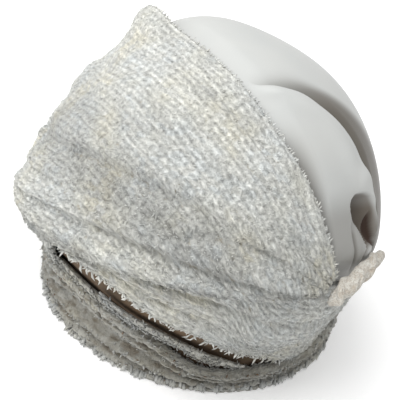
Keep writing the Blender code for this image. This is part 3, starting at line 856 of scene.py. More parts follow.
def give_colour(mesh, values):
    """Three numbers at each point, for the finish.

    On tufted cloth they are the yarn's tone, how far it stands out and how deep in a hollow it
    lies; a low level and a deep hollow are painted as shade. On cut ends they are the tone, how
    near the tip it is, which paints shade towards the root, and a random number. On the crown
    they say how much brown painted shade its fold, its pocket and its slit get.
    """
    colour = mesh.color_attributes.new("yarn", "FLOAT_COLOR", "POINT")
    padded = np.ones((len(values), 4), np.float32)
    padded[:, :3] = values
    colour.data.foreach_set("color", padded.ravel())


def give_flat(mesh, lengths):
    """Each point's place on the cloth laid flat, in metres."""
    places = np.zeros((len(mesh.vertices), 3), np.float32)
    places[:len(lengths), :2] = lengths
    flat = mesh.attributes.new("flat", "FLOAT_VECTOR", "POINT")
    flat.data.foreach_set("vector", places.ravel())


def give_yarn(piece, pile, yarn, down, along):
    """Give a tufted piece its yarn, and plain dull yarn to the lining behind its outer skin."""
    values = np.tile(LINING_YARN, (len(piece.data.vertices), 1))
    values[:down.size] = yarn.reshape(-1, 3)
    give_colour(piece.data, values)
    give_flat(piece.data, pile.flat(down, along).reshape(-1, 2))


def cloth_wall(name, face, rows, columns, wall, pile=None, step=3):
    """A closed wall of cloth on a face: a fine outer skin, an inner one step times coarser."""
    down, along = grid_shares(rows, columns)
    height, yarn = pile(down, along) if pile else (0.0, None)
    outer = face(down, along, -height)
    inner = face(down[::step, ::step], along[::step, ::step], wall)
    inner_rows, inner_columns = inner.shape[:2]
    count = rows * columns
    faces = grid_faces(rows, columns) + grid_faces(inner_rows, inner_columns, count)
    here = np.arange(count).reshape(rows, columns)
    there = count + np.arange(inner_rows * inner_columns).reshape(inner_rows, inner_columns)
    for skin, lining in ((here[0], there[0]), (here[-1], there[-1]),
                         (here[:, 0], there[:, 0]), (here[:, -1], there[:, -1])):
        for k in range(len(lining) - 1):
            edge = [int(point) for point in skin[k * step:(k + 1) * step + 1]]
            faces.append(edge + [int(lining[k + 1]), int(lining[k])])
    piece = closed_piece(name, np.concatenate([outer.reshape(-1, 3), inner.reshape(-1, 3)]), faces)
    if pile:
        give_yarn(piece, pile, yarn, down, along)
    return piece


# The tufted cloth: rows of soft clumps with gaps between them painted dark as shade, covered in
# cut ends of yarn.
CLUMP_REACH = 3.6 * MM
GAP_BETWEEN_CLUMPS = 1.7 * MM
CLUMP_STRETCH = 0.58
ROW_PITCH = 4.2 * MM
CLUMP_SPACING = 6.6 * MM
# How far a clump is shifted along its row and off it, in spacings of the clumps and of the rows.
CLUMP_SHIFT = (0.15, 0.85)
ROW_WANDER = 0.16
CLOSEST_ROWS = 2.4 * MM
SWELL_SIZE = (6.5 * MM, 24.0 * MM)
FINE_SIZE = (1.5 * MM, 3.2 * MM)
CREASE_DEPTH = 2.8 * MM
HOLLOW_DEPTH = 0.9 * MM
DEEPEST = 1.9 * MM
BAND_CREASE_DEPTH = 4.4 * MM
BAND_DEEPEST = 4.0 * MM
# From which shares of the band's thickness its relief comes in, and from which depth of a crease,
# between two, its clumps carry no cut ends.
BAND_RELIEF_STARTS = (0.5, 0.8)
BAND_BARE_FROM = (0.15, 0.5)
# The part of the drape, from its top edge down, whose cut ends lie flat.
UPPER_DRAPE = 0.45
# How much of a point's level comes from standing apart from the next clump, the rest from its own
# clump's dome, and how much a crease takes from its level. A low level is painted as shade.
APART_SHARE = 0.45
CREASE_LOWERS = 0.8
LINING_YARN = (0.5, 0.3, 0.0)
LATTICE_CELLS = (61, 67)
FLAT_GRID = (100, 160)
# How far cut ends stray from their clump, across its row and along it, how deep their roots lie,
# how much they curl at most on the cloth and at an edge, and how low they hang at most.
END_STRAY = (1.9 * MM, 3.2 * MM)
ROOTS_SUNK = 0.25 * MM
MOST_CURL = 0.35
MOST_CURL_AT_EDGE = 0.6
LOWEST_END = 0.2 * MM
# A point inside the form, seen from which all cloth faces away.
INSIDE = np.array([0.0, 0.012, BROW_LINE_Z])


def unit_of(vectors):
    """Vectors brought to length one."""
    return vectors / np.maximum(np.linalg.norm(vectors, axis=-1, keepdims=True), 1e-12)


def row_lengths(points, axis):
    """The lengths of the steps from point to point along an axis of a grid of points."""
    return np.linalg.norm(np.diff(points, axis=axis), axis=-1)


def run_along(steps):
    """The distance run at each of a row's points, from its steps."""
    return np.concatenate([[0.0], np.cumsum(steps)])


def face_frame(face, down, along):
    """Points on a face, and there the outward normal, the way along the row and the way across."""
    here = face(down, along)

    def way(down_by, along_by):
        ahead, behind = [face(np.clip(down + sign * down_by, 0.0, 1.0),
                              np.clip(along + sign * along_by, 0.0, 1.0)) for sign in (1.0, -1.0)]
        return ahead - behind

    row_way = unit_of(way(0.0, 1e-4))
    normal = unit_of(np.cross(row_way, way(1e-4, 0.0)))
    normal = normal * np.where(((here - INSIDE) * normal).sum(-1, keepdims=True) < 0, -1.0, 1.0)
    return here, normal, row_way, np.cross(normal, row_way)


def clump_places(face, random, first, last):
    """Shares down and along of the clumps, in rows that thin out where the cloth is gathered."""
    fine = np.linspace(first, last, 400)
    lines = face(fine[:, None], np.linspace(0.06, 0.94, 12)[None, :])
    run = run_along(row_lengths(lines, axis=0).max(axis=1))
    rows = int(run[-1] / ROW_PITCH) + 1
    row_shares = np.interp(np.linspace(0.0, run[-1], rows), run, fine)
    along = np.linspace(0.0, 1.0, 500)
    lines = face(row_shares[:, None] + 0 * along, along + 0 * row_shares[:, None])
    gap = row_lengths(lines, axis=0)
    gap = np.concatenate([gap, gap[-1:]])
    level = np.clip(np.ceil(np.log2(CLOSEST_ROWS / np.maximum(gap, 1e-6))), 0, 6)
    downs, alongs = [], []
    for number, share in enumerate(row_shares):
        length = run_along(row_lengths(lines[number], axis=0))
        count = int(length[-1] / CLUMP_SPACING)
        at = (np.arange(count) + random.uniform(*CLUMP_SHIFT, count)) * CLUMP_SPACING
        place = np.interp(at, length, along)
        thinning = 2 ** np.interp(place, along, level[number]).round().astype(int)
        stays = number % thinning == 0
        wander = random.uniform(-ROW_WANDER, ROW_WANDER, stays.sum()) * (last - first) / rows
        downs.append(np.clip(share + wander, first, last))
        alongs.append(place[stays])
    return np.concatenate(downs), np.concatenate(alongs)


def between_corners(corners, down, along):
    """The value inside a cell of a table, from the values at its four corners."""
    upper, lower = [left * (1.0 - along) + right * along for left, right in corners]
    return upper * (1.0 - down) + lower * down


class Flat:
    """A face laid flat: lengths across its rows from the first, and along them from the middle."""

    def __init__(self, face, first, last):
        self.first, self.last = first, last
        rows, columns = FLAT_GRID
        points = face(*grid_shares(rows, columns, first, last))
        self.lengths = np.zeros((rows, columns, 2))
        self.lengths[1:, :, 0] = np.cumsum(row_lengths(points, axis=0), axis=0)
        self.lengths[:, 1:, 1] = np.cumsum(row_lengths(points, axis=1), axis=1)
        self.lengths[:, :, 1] -= self.lengths[:, columns // 2, 1][:, None]

    def __call__(self, down, along):
        rows, columns = FLAT_GRID
        row = np.clip((down - self.first) / (self.last - self.first), 0.0, 1.0) * (rows - 1)
        column = np.clip(along, 0.0, 1.0) * (columns - 1)
        i = np.minimum(row.astype(int), rows - 2)
        j = np.minimum(column.astype(int), columns - 2)
        corners = [[self.lengths[i + m, j + n] for n in (0, 1)] for m in (0, 1)]
        return between_corners(corners, (row - i)[..., None], (column - j)[..., None])


def lattice(random):
    """Smooth random values between -1 and 1 over a plane, from a lattice of random numbers."""
    table = random.uniform(-1.0, 1.0, LATTICE_CELLS)

    def value(spots, size):
        cell = spots / np.array(size)
        low = np.floor(cell).astype(int)
        mix = smoothstep(0.0, 1.0, cell - low)
        corners = [[table[tuple(np.moveaxis((low + (i, j)) % LATTICE_CELLS, -1, 0))]
                    for j in (0, 1)] for i in (0, 1)]
        return between_corners(corners, mix[..., 0], mix[..., 1])

    return value


class Pile:
    """The relief of rows of clumps on a face, and the yarn at each of its points."""

    def __init__(self, face, random, heights, crease=None, first=0.0, last=1.0, rougher=0.0,
                 crease_depth=CREASE_DEPTH, deepest=DEEPEST):
        self.face = face
        self.clump_height, self.swell_height, self.fine_height = [MM * height for height in heights]
        self.crease = crease
        self.rougher = rougher
        self.crease_depth = crease_depth
        self.deepest = deepest
        self.flat = Flat(face, first, last)
        self.places = clump_places(face, random, first, last)
        centres = self.flat(*self.places)
        self.tree = KDTree(len(centres))
        for number, (across, run) in enumerate(centres):
            self.tree.insert((across, run * CLUMP_STRETCH, 0.0), number)
        self.tree.balance()
        self.tone = random.uniform(0.0, 1.0, len(centres))
        self.swell = lattice(random)
        self.fine = lattice(random)

    def __call__(self, down, along):
        """Heights over the face, and the yarn's tone, its level and how deep its hollow is."""
        spots = self.flat(down, along)
        found = [self.tree.find_n((across, run * CLUMP_STRETCH, 0.0), 2)
                 for across, run in spots.reshape(-1, 2)]
        nearest, near, second = [np.array([pair[rank][part] for pair in found])
                                 for rank, part in ((0, 1), (0, 2), (1, 2))]
        apart = smoothstep(0.0, GAP_BETWEEN_CLUMPS, second - near)
        dome = np.clip(1.0 - (near / CLUMP_REACH) ** 2, 0.0, 1.0)
        level = (APART_SHARE * apart + (1.0 - APART_SHARE) * dome).reshape(down.shape)
        height = (self.clump_height * level + self.swell_height * self.swell(spots, SWELL_SIZE)
                  + self.fine_height * self.fine(spots, FINE_SIZE))
        height = height * (1.0 + self.rougher * smoothstep(0.2, 0.8, down))
        hollow = 0.0 * level
        if self.crease:
            crease, hollow = self.crease(down, along)
            height = height - self.crease_depth * crease - HOLLOW_DEPTH * hollow
            height = np.maximum(height, -self.deepest)
            # A crease lowers the level, which the finish paints as shade.
            level = level * (1.0 - CREASE_LOWERS * crease)
        tone = self.tone[nearest].reshape(down.shape)
        return height, np.stack([tone, level, hollow], axis=-1)


# Cut ends of yarn: small closed blades with three sides and a point.
BLADE_FACES = np.array([
    (0, 2, 1),
    (0, 1, 4), (0, 4, 3), (1, 2, 5), (1, 5, 4), (2, 0, 3), (2, 3, 5),
    (3, 4, 6), (4, 5, 6), (5, 3, 6),
])
BLADE_POINTS = 7
# How far along its length a blade bends, and its thickness as a share of its width.
BLADE_BEND = 0.55
BLADE_THICKNESS = 0.35
# How high each blade point stands, from root to tip; the finish paints shade towards the root.
BLADE_LEVELS = np.array([0.0] * 3 + [BLADE_BEND] * 3 + [1.0])


def blades_at(roots, ways, normals, random, yarn, most_curl):
    """Points of curved blades from their roots, leaning along their ways."""
    length, width = [random.uniform(low * MM, high * MM, len(roots))[:, None]
                     for low, high in (yarn.length, yarn.width)]
    curl = random.uniform(0.0, most_curl, len(roots))[:, None]
    side = unit_of(np.cross(ways, normals) + 1e-6)
    back = np.cross(side, ways)
    stray = random.normal(0.0, 0.5, roots.shape)
    far = unit_of(ways + curl * (stray - normals))
    middle = roots + ways * length * BLADE_BEND
    points = np.empty((len(roots), BLADE_POINTS, 3))
    for level, (centre, share) in enumerate(((roots, 0.8), (middle, 1.0))):
        wide = side * (width * share) / 2.0
        points[:, 3 * level] = centre - wide
        points[:, 3 * level + 1] = centre + wide
        points[:, 3 * level + 2] = centre + back * (width * share) * BLADE_THICKNESS
    points[:, 6] = middle + far * length * (1.0 - BLADE_BEND)
    return points


def make_ends(name, ends, material):
    """One joined piece of cut ends, with a tone for each, how high it lies and a random number."""
    points, tone, stand = ends
    count = len(points)
    low = points[:, :, 2].min(axis=1)
    points[:, :, 2] += np.maximum(LOWEST_END - low, 0.0)[:, None]
    triangles = (BLADE_FACES[None, :, :] + BLADE_POINTS * np.arange(count)[:, None, None])
    mesh = bpy.data.meshes.new(name)
    mesh.vertices.add(count * BLADE_POINTS)
    mesh.vertices.foreach_set("co", points.astype(np.float32).ravel())
    mesh.loops.add(triangles.size)
    mesh.loops.foreach_set("vertex_index", triangles.astype(np.int32).ravel())
    mesh.polygons.add(count * len(BLADE_FACES))
    mesh.polygons.foreach_set("loop_start", np.arange(0, triangles.size, 3, dtype=np.int32))
    mesh.update(calc_edges=True)
    values = np.empty((count, BLADE_POINTS, 3), np.float32)
    values[:, :, 0] = tone[:, None]
    values[:, :, 1] = BLADE_LEVELS[None, :] * stand[:, :1]
    values[:, :, 2] = stand[:, 1:]
    give_colour(mesh, values.reshape(-1, 3))
    piece = add_piece(name, mesh)
    wear(piece, material)
    return piece


# How the cut ends lie on one stretch of cloth: how many to a clump, their lengths and widths in
# mm, how far they lean in degrees, how far they stray from their slant, their slant, and how far
# they rise at an edge.
Yarn = namedtuple("Yarn", "ends length width lean stray slant rise",
                  defaults=(0.6, 0.0, (-0.3, 0.7)))


def cut_ends(pile, random, yarn, part=slice(None)):
    """Points, tones and levels of cut ends scattered over a pile's clumps, or a part of them."""
    down, along = [np.repeat(shares[part], yarn.ends) for shares in pile.places]
    count = len(down)
    nudge = 1e-3
    here = pile.face(down, along)
    per_down = np.linalg.norm(here - pile.face(down - nudge, along), axis=-1)
    per_along = np.linalg.norm(here - pile.face(down, along - nudge), axis=-1)
    offsets = random.uniform(-1.0, 1.0, (2, count)) * nudge
    down, along = [np.clip(share + offset * stray / np.maximum(length, 1e-5), nudge, 1.0 - nudge)
                   for share, offset, stray, length in zip((down, along), offsets, END_STRAY,
                                                           (per_down, per_along))]
    height, marks = pile(down, along)
    here, normal, row_way, across = face_frame(pile.face, down, along)
    roots = here + normal * (height - ROOTS_SUNK)[:, None]
    lean = np.radians(random.uniform(*yarn.lean, count))
    spin = (yarn.slant + random.normal(0.0, yarn.stray, count)
            + math.pi * random.integers(0, 2, count))
    flat_way = row_way * np.cos(spin)[:, None] + across * np.sin(spin)[:, None]
    ways = normal * np.cos(lean)[:, None] + flat_way * np.sin(lean)[:, None]
    points = blades_at(roots, ways, normal, random, yarn, MOST_CURL)
    tone = np.clip(marks[:, 0] + random.normal(0.0, 0.25, count), 0.0, 1.0)
    # Ends in gaps, creases and hollows get a lower level, which paints shade on them.
    level = (0.35 + 0.65 * marks[:, 1]) * (1.0 - 0.5 * marks[:, 2])
    return points, tone, np.column_stack([level, random.uniform(0.0, 1.0, count)])


def edge_ends(face, down, outwards, random, spacing, yarn):
    """Cut ends that stand out past one edge of a face; outwards is -1 or 1 down the face."""
    along = np.linspace(0.0, 1.0, 600)
    run = run_along(row_lengths(face(np.full(600, down), along), axis=0))
    count = int(run[-1] / spacing)
    place = np.interp(random.uniform(0.0, run[-1], count), run, along)
    inside = np.clip(down - outwards * 2e-3, 0.0, 1.0)
    here, normal, row_way, _ = face_frame(face, np.full(count, down), place)
    way_out = unit_of(here - face(np.full(count, inside), place))
    lean = np.radians(random.uniform(*yarn.lean, count))[:, None]
    ways = unit_of(way_out * np.cos(lean)
                   + row_way * np.sin(lean) * random.choice([-1, 1], (count, 1))
                   + normal * random.uniform(*yarn.rise, (count, 1)))
    roots = here - way_out * 0.8 * MM + normal * random.uniform(-1.0, 0.8, (count, 1)) * MM
    points = blades_at(roots, ways, normal, random, yarn, MOST_CURL_AT_EDGE)
    return points, random.uniform(0.0, 1.0, count), random.uniform(0.6, 1.0, (count, 2))


def joined(*groups):
    """Several groups of ends as one."""
    return [np.concatenate(parts) for parts in zip(*groups)]


# Materials.
class Value:
    """A shader socket that can be used in sums and products."""

    def __init__(self, maker, socket):
        self.maker = maker
        self.socket = socket

    def maths(self, kind, pair):
        return self.maker.node("ShaderNodeMath", {"operation": kind}, pair)

    def __add__(self, other):
        return self.maths("ADD", [self, other])

    def __radd__(self, other):
        return self.maths("ADD", [other, self])

    def __mul__(self, other):
        return self.maths("MULTIPLY", [self, other])

    def __rmul__(self, other):
        return self.maths("MULTIPLY", [other, self])


class Finish:
    """A material and the one way its nodes are made."""

    def __init__(self, name, colour, **fixed):
        self.material = bpy.data.materials.new(name)
        self.material.use_nodes = True
        self.tree = self.material.node_tree
        self.shader = self.tree.nodes["Principled BSDF"]
        self.shader.inputs["Base Color"].default_value = (*colour, 1.0)
        for socket, value in fixed.items():
            self.shader.inputs[socket.replace("_", " ")].default_value = value

    def node(self, kind, settings=None, sockets=(), output=0):
        """Make a node: settings first, then its sockets by number or name; give one output."""
        made = self.tree.nodes.new(kind)
        for key, value in (settings or {}).items():
            setattr(made, key, value)
        named = sockets.items() if isinstance(sockets, dict) else enumerate(sockets)
        for key, value in named:
            self.join(value, made.inputs[key])
        return Value(self, made.outputs[output])

    def join(self, value, socket):
        if isinstance(value, Value):
            self.tree.links.new(value.socket, socket)
        else:
            socket.default_value = value

    def drive(self, socket, value):
        """Link what changes over the surface to one of the shader's sockets."""
        self.join(value, self.shader.inputs[socket])

    def noise(self, place, scale, detail=2.0, roughness=0.5):
        return self.node("ShaderNodeTexNoise", {}, {"Vector": place, "Scale": scale,
                                                    "Detail": detail, "Roughness": roughness})

    def scaled(self, colour, share):
        """A colour made darker or lighter by a share."""
        return self.node("ShaderNodeVectorMath", {"operation": "SCALE"},
                         {0: colour, "Scale": share})

    def fade(self, value, low, high, start=0.0, end=1.0):
        """A value mapped from one span to another, held at the ends."""
        return self.node("ShaderNodeMapRange", {"clamp": True}, [value, low, high, start, end])

    def blend(self, share, first, second):
        """A colour between two colours."""
        first, second = [colour if isinstance(colour, Value) else (*colour, 1.0)
                         for colour in (first, second)]
        return self.node("ShaderNodeMix", {"data_type": "RGBA"}, {0: share, 6: first, 7: second}, 2)

    def place(self):
        """The piece's own coordinates in metres."""
        return self.node("ShaderNodeTexCoord", output=3)

    def bump(self, height, strength, distance):
        return self.node("ShaderNodeBump", {}, {"Height": height, "Strength": strength,
                                                "Distance": distance})


# Colours of the yarns and cloths.
WHITE = (0.63, 0.635, 0.60)
BRIGHT = (0.86, 0.87, 0.84)
CREAM = (0.66, 0.64, 0.545)
COOL = (0.605, 0.63, 0.62)
# Painted shade between the clumps and in creases: the drape's and wrap's gap colour, and the darker
# one of the band and coils.
SHADED_GAP = (0.26, 0.235, 0.18)
BAND_SHADED_GAP = (0.13, 0.10, 0.07)
SPECK = (0.24, 0.20, 0.12)
# The colour of the darker patches: partly a duller yarn, partly painted shade of the low cloth.
DULL_BROWN = (0.170, 0.152, 0.112)
# Orange-brown, for a share of the band's ends.
ORANGE_BROWN = (0.30, 0.17, 0.07)
CROWN_COOL = (0.425, 0.435, 0.425)
CROWN_WARM = (0.455, 0.46, 0.445)
# Brown painted shade for the crown's fold and the cloth round its pocket, for its pocket, and the
# near-black painted shade of its slit, where the lining shows.
FOLD_PAINTED_SHADE = (0.075, 0.062, 0.045)
POCKET_PAINTED_SHADE = (0.085, 0.062, 0.04)
SLIT_SHADED_LINING = (0.028, 0.009, 0.001)
# Painted shade for the low parts of the tail's bump: a pinkish cream and a darker hollow colour.
TAIL_SHADED_PINK = (0.54, 0.475, 0.39)
TAIL_CREAM = (0.74, 0.72, 0.655)
TAIL_HOLLOW_SHADE = (0.34, 0.28, 0.22)
LINING_DARK = (0.070, 0.046, 0.026)
LINING_WORN = (0.115, 0.072, 0.038)


def yarn_parts(made):
    """The three numbers that each point carries."""
    colour = made.node("ShaderNodeAttribute", {"attribute_name": "yarn"})
    parts = made.node("ShaderNodeSeparateColor", {}, [colour])
    return [Value(made, output) for output in parts.socket.node.outputs]


def yarn_colour(made, place, tone):
    """White yarn with cream and cool patches, a little different from clump to clump."""
    patch = made.fade(made.noise(place, 24.0, 2.0), 0.44, 0.62)
    cool = made.blend(made.fade(tone, 0.2, 1.0), WHITE, COOL)
    warm = made.blend(made.fade(tone, 0.0, 0.8), WHITE, CREAM)
    return made.blend(patch, cool, warm)


def along_rows(made, along):
    """Coordinates on the cloth laid flat, drawn out along its rows."""
    flat = made.node("ShaderNodeAttribute", {"attribute_name": "flat"}, output=1)
    return made.node("ShaderNodeVectorMath", {"operation": "MULTIPLY"}, [flat, (1.0, along, 1.0)])


def cloth_finish(name, darker, gap_colour, gap_level=0.40, hollow_shade=0.66):
    """Tufted cloth: soft clumps and a fine fuzz of fibres, with painted shade in the olive-brown
    gaps between the clumps, in creases and hollows and in the low parts of the fine relief.
    """
    made = Finish(name, WHITE, Roughness=0.92, Sheen_Weight=0.2, Sheen_Roughness=0.5)
    place = made.place()
    tone, level, hollow = yarn_parts(made)
    rows = along_rows(made, 0.40)
    fuzz = made.noise(along_rows(made, 0.8), 1100.0, 3.0, 0.7)
    curl = made.fade(made.noise(along_rows(made, 0.75), 400.0, 3.0, 0.62), 0.32, 0.66)
    across = made.node("ShaderNodeSeparateXYZ", {}, [rows])
    ripple = made.node("ShaderNodeMath", {"operation": "SINE"},
                       [across * (2.0 * math.pi / ROW_PITCH) + 10.0 * made.noise(rows, 70.0, 2.0)])
    # Painted shade of the fine relief: the fuzz, curls and ripples below also make the bump, and
    # the colour is darker where they are low; the noise at 95 is a random tone.
    shade = made.fade(fuzz, 0.30, 0.62, 0.84, 1.0) * made.fade(curl, 0.0, 1.0, 0.58, 1.12)
    shade = shade * made.fade(made.noise(rows, 95.0, 2.0), 0.35, 0.65, 0.86, 1.04)
    # Painted shade in the hollows, as strong as hollow_shade lets it go.
    shade = (shade * made.fade(ripple, -1.0, 0.2, 0.80, 1.03)
             * made.fade(hollow, 0.0, 1.0, 1.0, hollow_shade))
    yarn = made.scaled(yarn_colour(made, place, tone), shade)
    # The gaps between clumps and the creases are painted dark as shade wherever the yarn's level is
    # low.
    deep = made.fade(made.noise(rows, 230.0, 2.0), 0.50, 0.62)
    gap = made.blend(deep, tuple(0.70 * c for c in WHITE), gap_colour)
    colour = made.blend(made.fade(level, 0.02, gap_level), gap, yarn)
    # Darker brown patches, stronger on the lower pieces: partly a duller yarn, partly painted shade
    # of the low, downward-facing cloth.
    if darker:
        duller_and_shaded = made.noise(place, 70.0, 3.0, 0.6)
        duller_and_shaded = made.fade(duller_and_shaded, 0.30, 0.70, 0.5 * darker, 1.3 * darker)
        colour = made.blend(duller_and_shaded, colour, DULL_BROWN)
    made.drive("Base Color", colour)
    relief = curl + 0.3 * fuzz + 0.45 * made.fade(ripple, -1.0, 0.4)
    made.drive("Normal", made.bump(relief, 0.8, 0.0013))
    return made.material


def end_finish(name, darker, share, specks=0.008, speck_colour=SPECK):
    """Cut ends of yarn: white, cream or cool at the tip, a few dark ones, and duller at the root
    and low in gaps, creases and hollows with painted shade.
    """
    made = Finish(name, WHITE, Roughness=0.85, Sheen_Weight=0.2, Sheen_Roughness=0.5)
    place = made.place()
    tone, tip, chance = yarn_parts(made)
    yarn = yarn_colour(made, place, tone)
    yarn = made.blend(made.fade(chance, 0.70, 1.0, 0.0, 0.4), yarn, BRIGHT)
    yarn = made.blend(made.fade(chance, 0.75 * specks, specks, 1.0, 0.0), yarn, speck_colour)
    # Painted shade: a dull colour at the root and on ends that lie low.
    dull = tuple((0.72 - darker) * c for c in WHITE)
    ends = made.blend(made.fade(tip, -0.2, 0.5), dull, yarn)
    made.drive("Base Color", made.scaled(ends, made.fade(chance, 0.0, 1.0, 0.66 * share, share)))
    return made.material


def crown_finish():
    """Smooth white cloth: a fine knit, soft slubs, a faint sheen, and brown painted shade deep in
    its fold, beside and in its pocket and in its slit.
    """
    made = Finish("smooth white cloth", (0.49, 0.50, 0.49), Roughness=0.62, Sheen_Weight=0.12,
                  Sheen_Roughness=0.4)
    place = made.place()
    knit = made.noise(place, 2200.0, 1.0)
    soft = made.noise(place, 22.0, 2.0)
    fold, pocket, slit = yarn_parts(made)
    cloth = made.blend(made.fade(soft, 0.3, 0.7), CROWN_COOL, CROWN_WARM)
    # Brown painted shade in the fold, along the valley and round the pocket, and inside the pocket.
    for share, brown in ((fold, FOLD_PAINTED_SHADE), (pocket, POCKET_PAINTED_SHADE)):
        cloth = made.blend(made.fade(share, 0.0, 1.0, 0.0, 0.90), cloth, brown)
    # The slit: painted shade of an opening, with the lining's brown in it.
    made.drive("Base Color", made.blend(slit, cloth, SLIT_SHADED_LINING))
    made.drive("Roughness", made.fade(knit, 0.3, 0.7, 0.52, 0.64))
    made.drive("Normal", made.bump(knit, 0.25, 0.0002))
    return made.material


def tail_finish():
    """Twisted cloth: cream with a faint green cast, loosely knitted, with pinkish painted shade in
    the hollows of its bump.
    """
    made = Finish("twisted cream cloth", CREAM, Roughness=0.85, Sheen_Weight=0.25)
    place = made.place()
    blotch = made.noise(place, 260.0, 4.0, 0.7)
    thread = made.noise(place, 1100.0, 2.0, 0.6)
    # Painted shade: the pinkish and the darker hollow colours go where the bump below is low.
    colour = made.blend(made.fade(blotch, 0.35, 0.60), TAIL_SHADED_PINK, TAIL_CREAM)
    colour = made.blend(made.fade(thread, 0.25, 0.5), TAIL_HOLLOW_SHADE, colour)
    made.drive("Base Color", colour)
    made.drive("Normal", made.bump(thread + 2.0 * blotch, 1.0, 0.0020))
    return made.material


def lining_finish():
    """The thin brown cap: a close plain weave with a dull face."""
    made = Finish("brown lining cloth", (0.10, 0.055, 0.028), Roughness=0.9)
    place = made.place()
    weave = made.noise(place, 1500.0, 2.0, 0.7)
    worn = made.fade(made.noise(place, 45.0, 3.0), 0.3, 0.7)
    made.drive("Base Color", made.blend(worn, LINING_DARK, LINING_WORN))
    made.drive("Normal", made.bump(weave, 0.5, 0.0003))
    return made.material


def wear(piece, material, node=None):
    """Give a piece its finish and the solid it stands for."""
    piece.data.materials.clear()
    piece.data.materials.append(material)
    if node:
        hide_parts(node)


def make_drape():
    """The pleated drape, its cut ends and the fringe along its top edge."""
    random = np.random.default_rng(11)
    pile = Pile(drape_face, random, (0.9, 0.8, 0.35), drape_crease, rougher=0.8)
    cloth = cloth_wall("drape_cloth", drape_face, 250, 328, DRAPE_WALL, pile)
    wear(cloth, cloth_finish("drape cloth", 0.0, SHADED_GAP), "front_drape")
    finish = end_finish("drape ends", 0.0, 0.92)
    flat = Yarn(6, (1.2, 2.8), (0.22, 0.48), (62.0, 88.0), 0.9)
    rough = Yarn(7, (1.4, 3.0), (0.28, 0.62), (45.0, 85.0), 1.1)
    fringe = Yarn(1, (2.0, 4.6), (0.6, 1.3), (0.0, 50.0))
    upper = pile.places[0] < UPPER_DRAPE
    ends = joined(cut_ends(pile, random, flat, upper),
                  edge_ends(drape_face, 0.0, -1.0, random, 0.55 * MM, fringe))
    pieces = [make_ends("drape_ends_upper", ends, finish),
              make_ends("drape_ends_lower", cut_ends(pile, random, rough, ~upper), finish)]
    return cloth, pieces


def make_wrap():
    """The lower wrap, its cut ends and the ends that hang over the gap."""
    random = np.random.default_rng(23)
    pile = Pile(wrap_face, random, (1.5, 0.9, 0.5), wrap_crease)
    cloth = cloth_wall("wrap_cloth", wrap_face, 97, 661, WRAP_WALL, pile)
    wear(cloth, cloth_finish("wrap cloth", 0.06, SHADED_GAP), "lower_wrap")
    flat = Yarn(6, (1.5, 3.2), (0.30, 0.65), (50.0, 86.0), 1.0)
    fringe = Yarn(1, (1.8, 5.6), (0.7, 1.6), (0.0, 55.0))
    loose = Yarn(1, (5.0, 9.0), (1.3, 2.3), (0.0, 45.0))
    ends = joined(cut_ends(pile, random, flat),
                  edge_ends(wrap_face, 0.0, -1.0, random, 0.8 * MM, fringe),
                  edge_ends(wrap_face, 0.0, -1.0, random, 2.6 * MM, loose))
    return cloth, [make_ends("wrap_ends", ends, end_finish("wrap ends", 0.05, 0.90))]


def make_band():
    """The wound band with its rolls, its cut ends and the spiky ends along its low outline."""
    random = np.random.default_rng(37)
    pile = Pile(band_face, random, (1.9, 0.9, 0.5), band_crease, *BAND_OUTSIDE,
                crease_depth=BAND_CREASE_DEPTH, deepest=BAND_DEEPEST)
    around, along = [shares[:-1, :-1] for shares in grid_shares(73, 601)]
    height, yarn = pile(around, along)
    outside = smoothstep(*BAND_RELIEF_STARTS, closed_section(around)[1])
    points = band_face(around, along, -height * outside)
    points[..., 2] = np.maximum(points[..., 2], 0.0)
    band = closed_piece("band_cloth", points, grid_faces(*around.shape, ring=True, rolled=True))
    give_yarn(band, pile, yarn, around, along)
    # The band is darkened: partly a duller yarn, partly painted shade of its low, downward-facing
    # rolls; its gaps and the hollows between its rolls get strong painted shade.
    wear(band, cloth_finish("band cloth", 0.50, BAND_SHADED_GAP, 0.85, 0.22), "brow_band")
    flat = Yarn(4, (1.8, 3.6), (0.6, 1.4), (66.0, 90.0), 0.7, slant=0.9)
    fringe = Yarn(1, (3.4, 6.4), (2.2, 3.8), (0.0, 35.0), rise=(1.0, 2.6))
    tufts = Yarn(1, (2.0, 6.0), (0.8, 1.8), (0.0, 60.0))
    bare_from = random.uniform(*BAND_BARE_FROM, len(pile.tone))
    on_rolls = band_crease(*pile.places)[0] < bare_from
    ends = joined(cut_ends(pile, random, flat, on_rolls),
                  edge_ends(band_face, BAND_SPIKES_AT, -1.0, random, 1.5 * MM, fringe),
                  edge_ends(band_face, BAND_OUTSIDE[1], 1.0, random, 0.5 * MM, tufts),
                  edge_ends(band_face, BAND_TOP_AT, 1.0, random, 0.5 * MM, tufts))
    # The band's ends are darker: partly a duller yarn, partly painted shade of its low rolls; some
    # are orange-brown towards the tip.
    make_ends("band_ends", ends, end_finish("band ends", 0.30, 0.62, 0.12, ORANGE_BROWN))
    return band


def make_coil(name, coil_path, seed):
    """A narrow coil of the band that shows in the gap under the wrap."""
    random = np.random.default_rng(seed)
    face = partial(coil_face, coil_path)
    pile = Pile(face, random, (1.0, 0.5, 0.3))
    around, along = [shares[:-1] for shares in grid_shares(33, 121)]
    height, yarn = pile(around, along)
    rows, columns = around.shape
    start = [i * columns for i in range(rows)]
    end = [first + columns - 1 for first in start]
    faces = grid_faces(rows, columns, rolled=True) + [start, end[::-1]]
    coil = closed_piece(name + "_cloth", face(around, along, -0.5 * height), faces)
    give_yarn(coil, pile, yarn, around, along)
    wear(coil, cloth_finish("coil cloth", 0.30, BAND_SHADED_GAP, 0.85))
    flat = Yarn(9, (1.6, 3.4), (0.7, 1.5), (50.0, 88.0), 1.4)
    make_ends(name + "_ends", cut_ends(pile, random, flat), end_finish("coil ends", 0.3, 0.56))
    return coil


